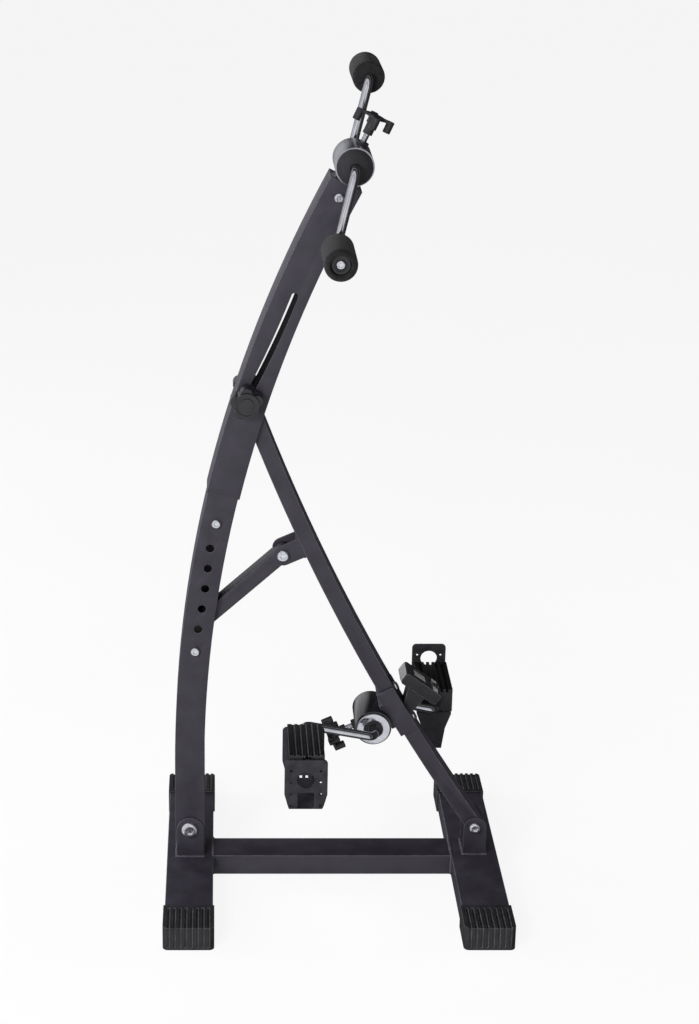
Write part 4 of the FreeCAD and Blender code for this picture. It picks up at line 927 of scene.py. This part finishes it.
def counter_window(place):
    """The dark glass, the crystal in its middle and the raised frame round them."""
    glass = bmesh.new()
    plate(glass, shifted(place, WINDOW_SHIFT, 0, GLASS_HEIGHT), **GLASS)
    counter_piece("counter_glass", glass, ENAMEL)
    crystal = bmesh.new()
    plate(crystal, shifted(place, WINDOW_SHIFT, 0, CRYSTAL_HEIGHT), **CRYSTAL)
    counter_piece("counter_crystal", crystal, LCD)
    rim = bmesh.new()
    loops = [plate_loop(wide, wide, corner, height) for wide, corner, height in WINDOW_FRAME]
    lofted(rim, loops, shifted(place, WINDOW_SHIFT, 0, 0), closed=True)
    counter_piece("counter_window_frame", rim, KNOB_PLASTIC)


def counter_keys(place):
    """The grey panels on both sides of the button and the bright ring round it."""
    panels = bmesh.new()
    for side in (-1, 1):
        plate(panels, shifted(place, BUTTON_SHIFT, side * KEY_PANEL_APART / 2, KEY_PANEL_HEIGHT), **KEY_PANEL)
    counter_piece("counter_key_panel", panels, GREY_ABS)
    ring = bmesh.new()
    loops = [ring_of(radius, height) for radius, height in BUTTON_RING]
    lofted(ring, loops, shifted(place, BUTTON_SHIFT, 0, 0), closed=True)
    stand_in("counter_button_ring", mesh_of("counter_button_ring", ring), "strut", "rod_chrome")


def counter_end(place, long, tall):
    """The grey plate on the end of the case that looks up to the left."""
    end = bmesh.new()
    turned = shifted(place, -long / 2, 0, -tall / 2) @ Matrix.Rotation(-QUARTER, 4, "Y")
    plate(end, turned, wide=tall - END_PLATE_INSET, deep=END_PLATE_DEEP, **END_PLATE)
    counter_piece("counter_end_plate", end, GREY_ABS)


# All pieces
for node_name in sorted(frame["nodes"]):
    if node_name in EDGE_ROUNDS_MM:
        soften(node_name, EDGE_ROUNDS_MM[node_name])
    elif node_name in SCREW_SHANKS:
        button_screws(node_name, SCREW_SHANKS[node_name])
    elif node_name in NUT_BORES:
        lock_nuts(node_name, NUT_BORES[node_name])
    elif node_name in GRIPS:
        hand_grip(node_name, GRIPS[node_name])
    elif not node_name.endswith("tension_screw"):
        smooth_copy(node_name)
for level_name in ("upper", "lower"):
    tension_screw(level_name)
base_welds()
case_place, case_long, case_tall = counter_place()
counter_window(case_place)
counter_keys(case_place)
counter_end(case_place, case_long, case_tall)


# Floor, light and camera
PALE = "#f8f8f8"
FLOOR_REACH = 40
FLOOR_GLOW = 0.95
KEY_SIDE = (-0.68, -0.72, 0.12)
# How bright the surround is, from the side away from the key light to the side towards it.
ZONES = ((0.0, 0.05), (0.25, 0.03), (0.42, 0.02), (0.48, 0.25), (0.54, 0.05), (0.68, 0.04), (0.75, 0.7),
         (0.88, 0.8), (0.93, 0.35), (1.0, 0.95))
ZONE_BLUE = 1.03
# The table in front and the screen behind: side, where each begins, where it is full, and colour.
BRIGHT_SIDES = (((0.05, -0.93, -0.36), 0.88, 0.96, "#f0f0f4"), ((-0.5, 0.86, 0.1), 0.84, 0.94, "#d0d0d4"))


def floor():
    """A wide pale studio floor that glows softly, so that only faint shadows lie on it."""
    mesh = bpy.data.meshes.new("floor")
    work = bmesh.new()
    bmesh.ops.create_grid(work, x_segments=1, y_segments=1, size=FLOOR_REACH)
    work.to_mesh(mesh)
    work.free()
    ground = link_in(bpy.data.objects.new("floor", mesh))
    material, tree, shader = new_material("pale_floor", specular=0.0)
    mottled(tree, shader, "#474747", "#4b4b4b", patch_mm=400, low_rough=0.8, high_rough=0.9)
    shader.inputs["Emission Color"].default_value = linear(PALE)
    shader.inputs["Emission Strength"].default_value = FLOOR_GLOW
    mesh.materials.append(material)
    ground.visible_glossy = False


def soft_light(name, place, target, size, power):
    """A square soft light that the chrome doesn't mirror, because the surround gives its bright zones."""
    lamp = bpy.data.lights.new(name, "AREA")
    lamp.energy = power
    lamp.size = size
    item = link_in(bpy.data.objects.new(name, lamp))
    item.location = place
    item.rotation_euler = (Vector(target) - Vector(place)).to_track_quat("-Z", "Y").to_euler()
    item.visible_glossy = False


def lobe(tree, facing, towards, low, high):
    """A share that rises as a direction turns from one dot product with another to a higher one."""
    closeness = add(tree, "ShaderNodeVectorMath", {0: facing, 1: towards}, operation="DOT_PRODUCT")
    share = add(tree, "ShaderNodeMapRange", {"Value": closeness.outputs["Value"], "From Min": low,
                                             "From Max": high})
    return share.outputs["Result"]


def surround(tree):
    """The dark and bright zones of a studio, with a bright table in front and a screen behind."""
    facing = add(tree, "ShaderNodeTexCoord").outputs["Generated"]
    zones = add(tree, "ShaderNodeValToRGB", {"Fac": lobe(tree, facing, KEY_SIDE, -1, 1)})
    stops = zones.color_ramp.elements
    while len(stops) < len(ZONES):
        stops.new(0)
    for stop, (spot, level) in zip(stops, ZONES):
        stop.position = spot
        stop.color = (level, level, level * ZONE_BLUE, 1)
    colour = zones.outputs["Color"]
    for towards, low, high, bright in BRIGHT_SIDES:
        blend = add(tree, "ShaderNodeMix", {"Factor": lobe(tree, facing, towards, low, high),
                                            MIX_FIRST: colour, MIX_SECOND: linear(bright)}, data_type="RGBA")
        colour = blend.outputs[MIX_RESULT]
    return colour


def studio():
    """A pale background for the camera, and the surround for what the object mirrors."""
    world = bpy.data.worlds.new("studio")
    world.use_nodes = True
    tree = world.node_tree
    tree.nodes.clear()
    seen = add(tree, "ShaderNodeBackground", {"Color": linear(PALE)})
    lit = add(tree, "ShaderNodeBackground", {"Color": surround(tree)})
    direct = add(tree, "ShaderNodeLightPath").outputs["Is Camera Ray"]
    both = add(tree, "ShaderNodeMixShader", {0: direct, 1: lit.outputs[0], 2: seen.outputs[0]})
    add(tree, "ShaderNodeOutputWorld", {"Surface": both.outputs[0]})
    bpy.context.scene.world = world


def soft_lights():
    """The key light in front on the left, a small one for the arm crank, and weaker ones all round."""
    soft_light("key_softbox", (-1.2, -2.3, 1.25), (0, 0, 0.8), size=1.2, power=60)
    soft_light("upper_softbox", (-0.95, -1.3, 1.4), (0.05, 0, 1.05), size=0.5, power=19)
    soft_light("right_softbox", (2.2, 0.3, 0.6), (0, 0, 0.6), size=0.8, power=34)
    soft_light("left_softbox", (-2.2, 0.3, 0.8), (0, 0, 0.7), size=0.9, power=40)
    soft_light("back_softbox", (-1.8, 2.0, 1.2), (0, 0, 0.5), size=1.0, power=18)


def photograph_camera():
    """The camera fitted to the photograph, 18.46 degrees down from level."""
    lens = bpy.data.cameras.new("photograph")
    lens.sensor_width = 36
    lens.lens = 71.72
    lens.shift_x = 0.1264
    lens.shift_y = -0.110
    camera = link_in(bpy.data.objects.new("photograph", lens))
    camera.location = (-0.1587, -2.5574, 1.5581)
    camera.rotation_euler = (QUARTER - math.radians(18.46), 0, 0)
    bpy.context.scene.camera = camera


floor()
studio()
soft_lights()
photograph_camera()
bpy.context.scene.view_settings.view_transform = "Standard"
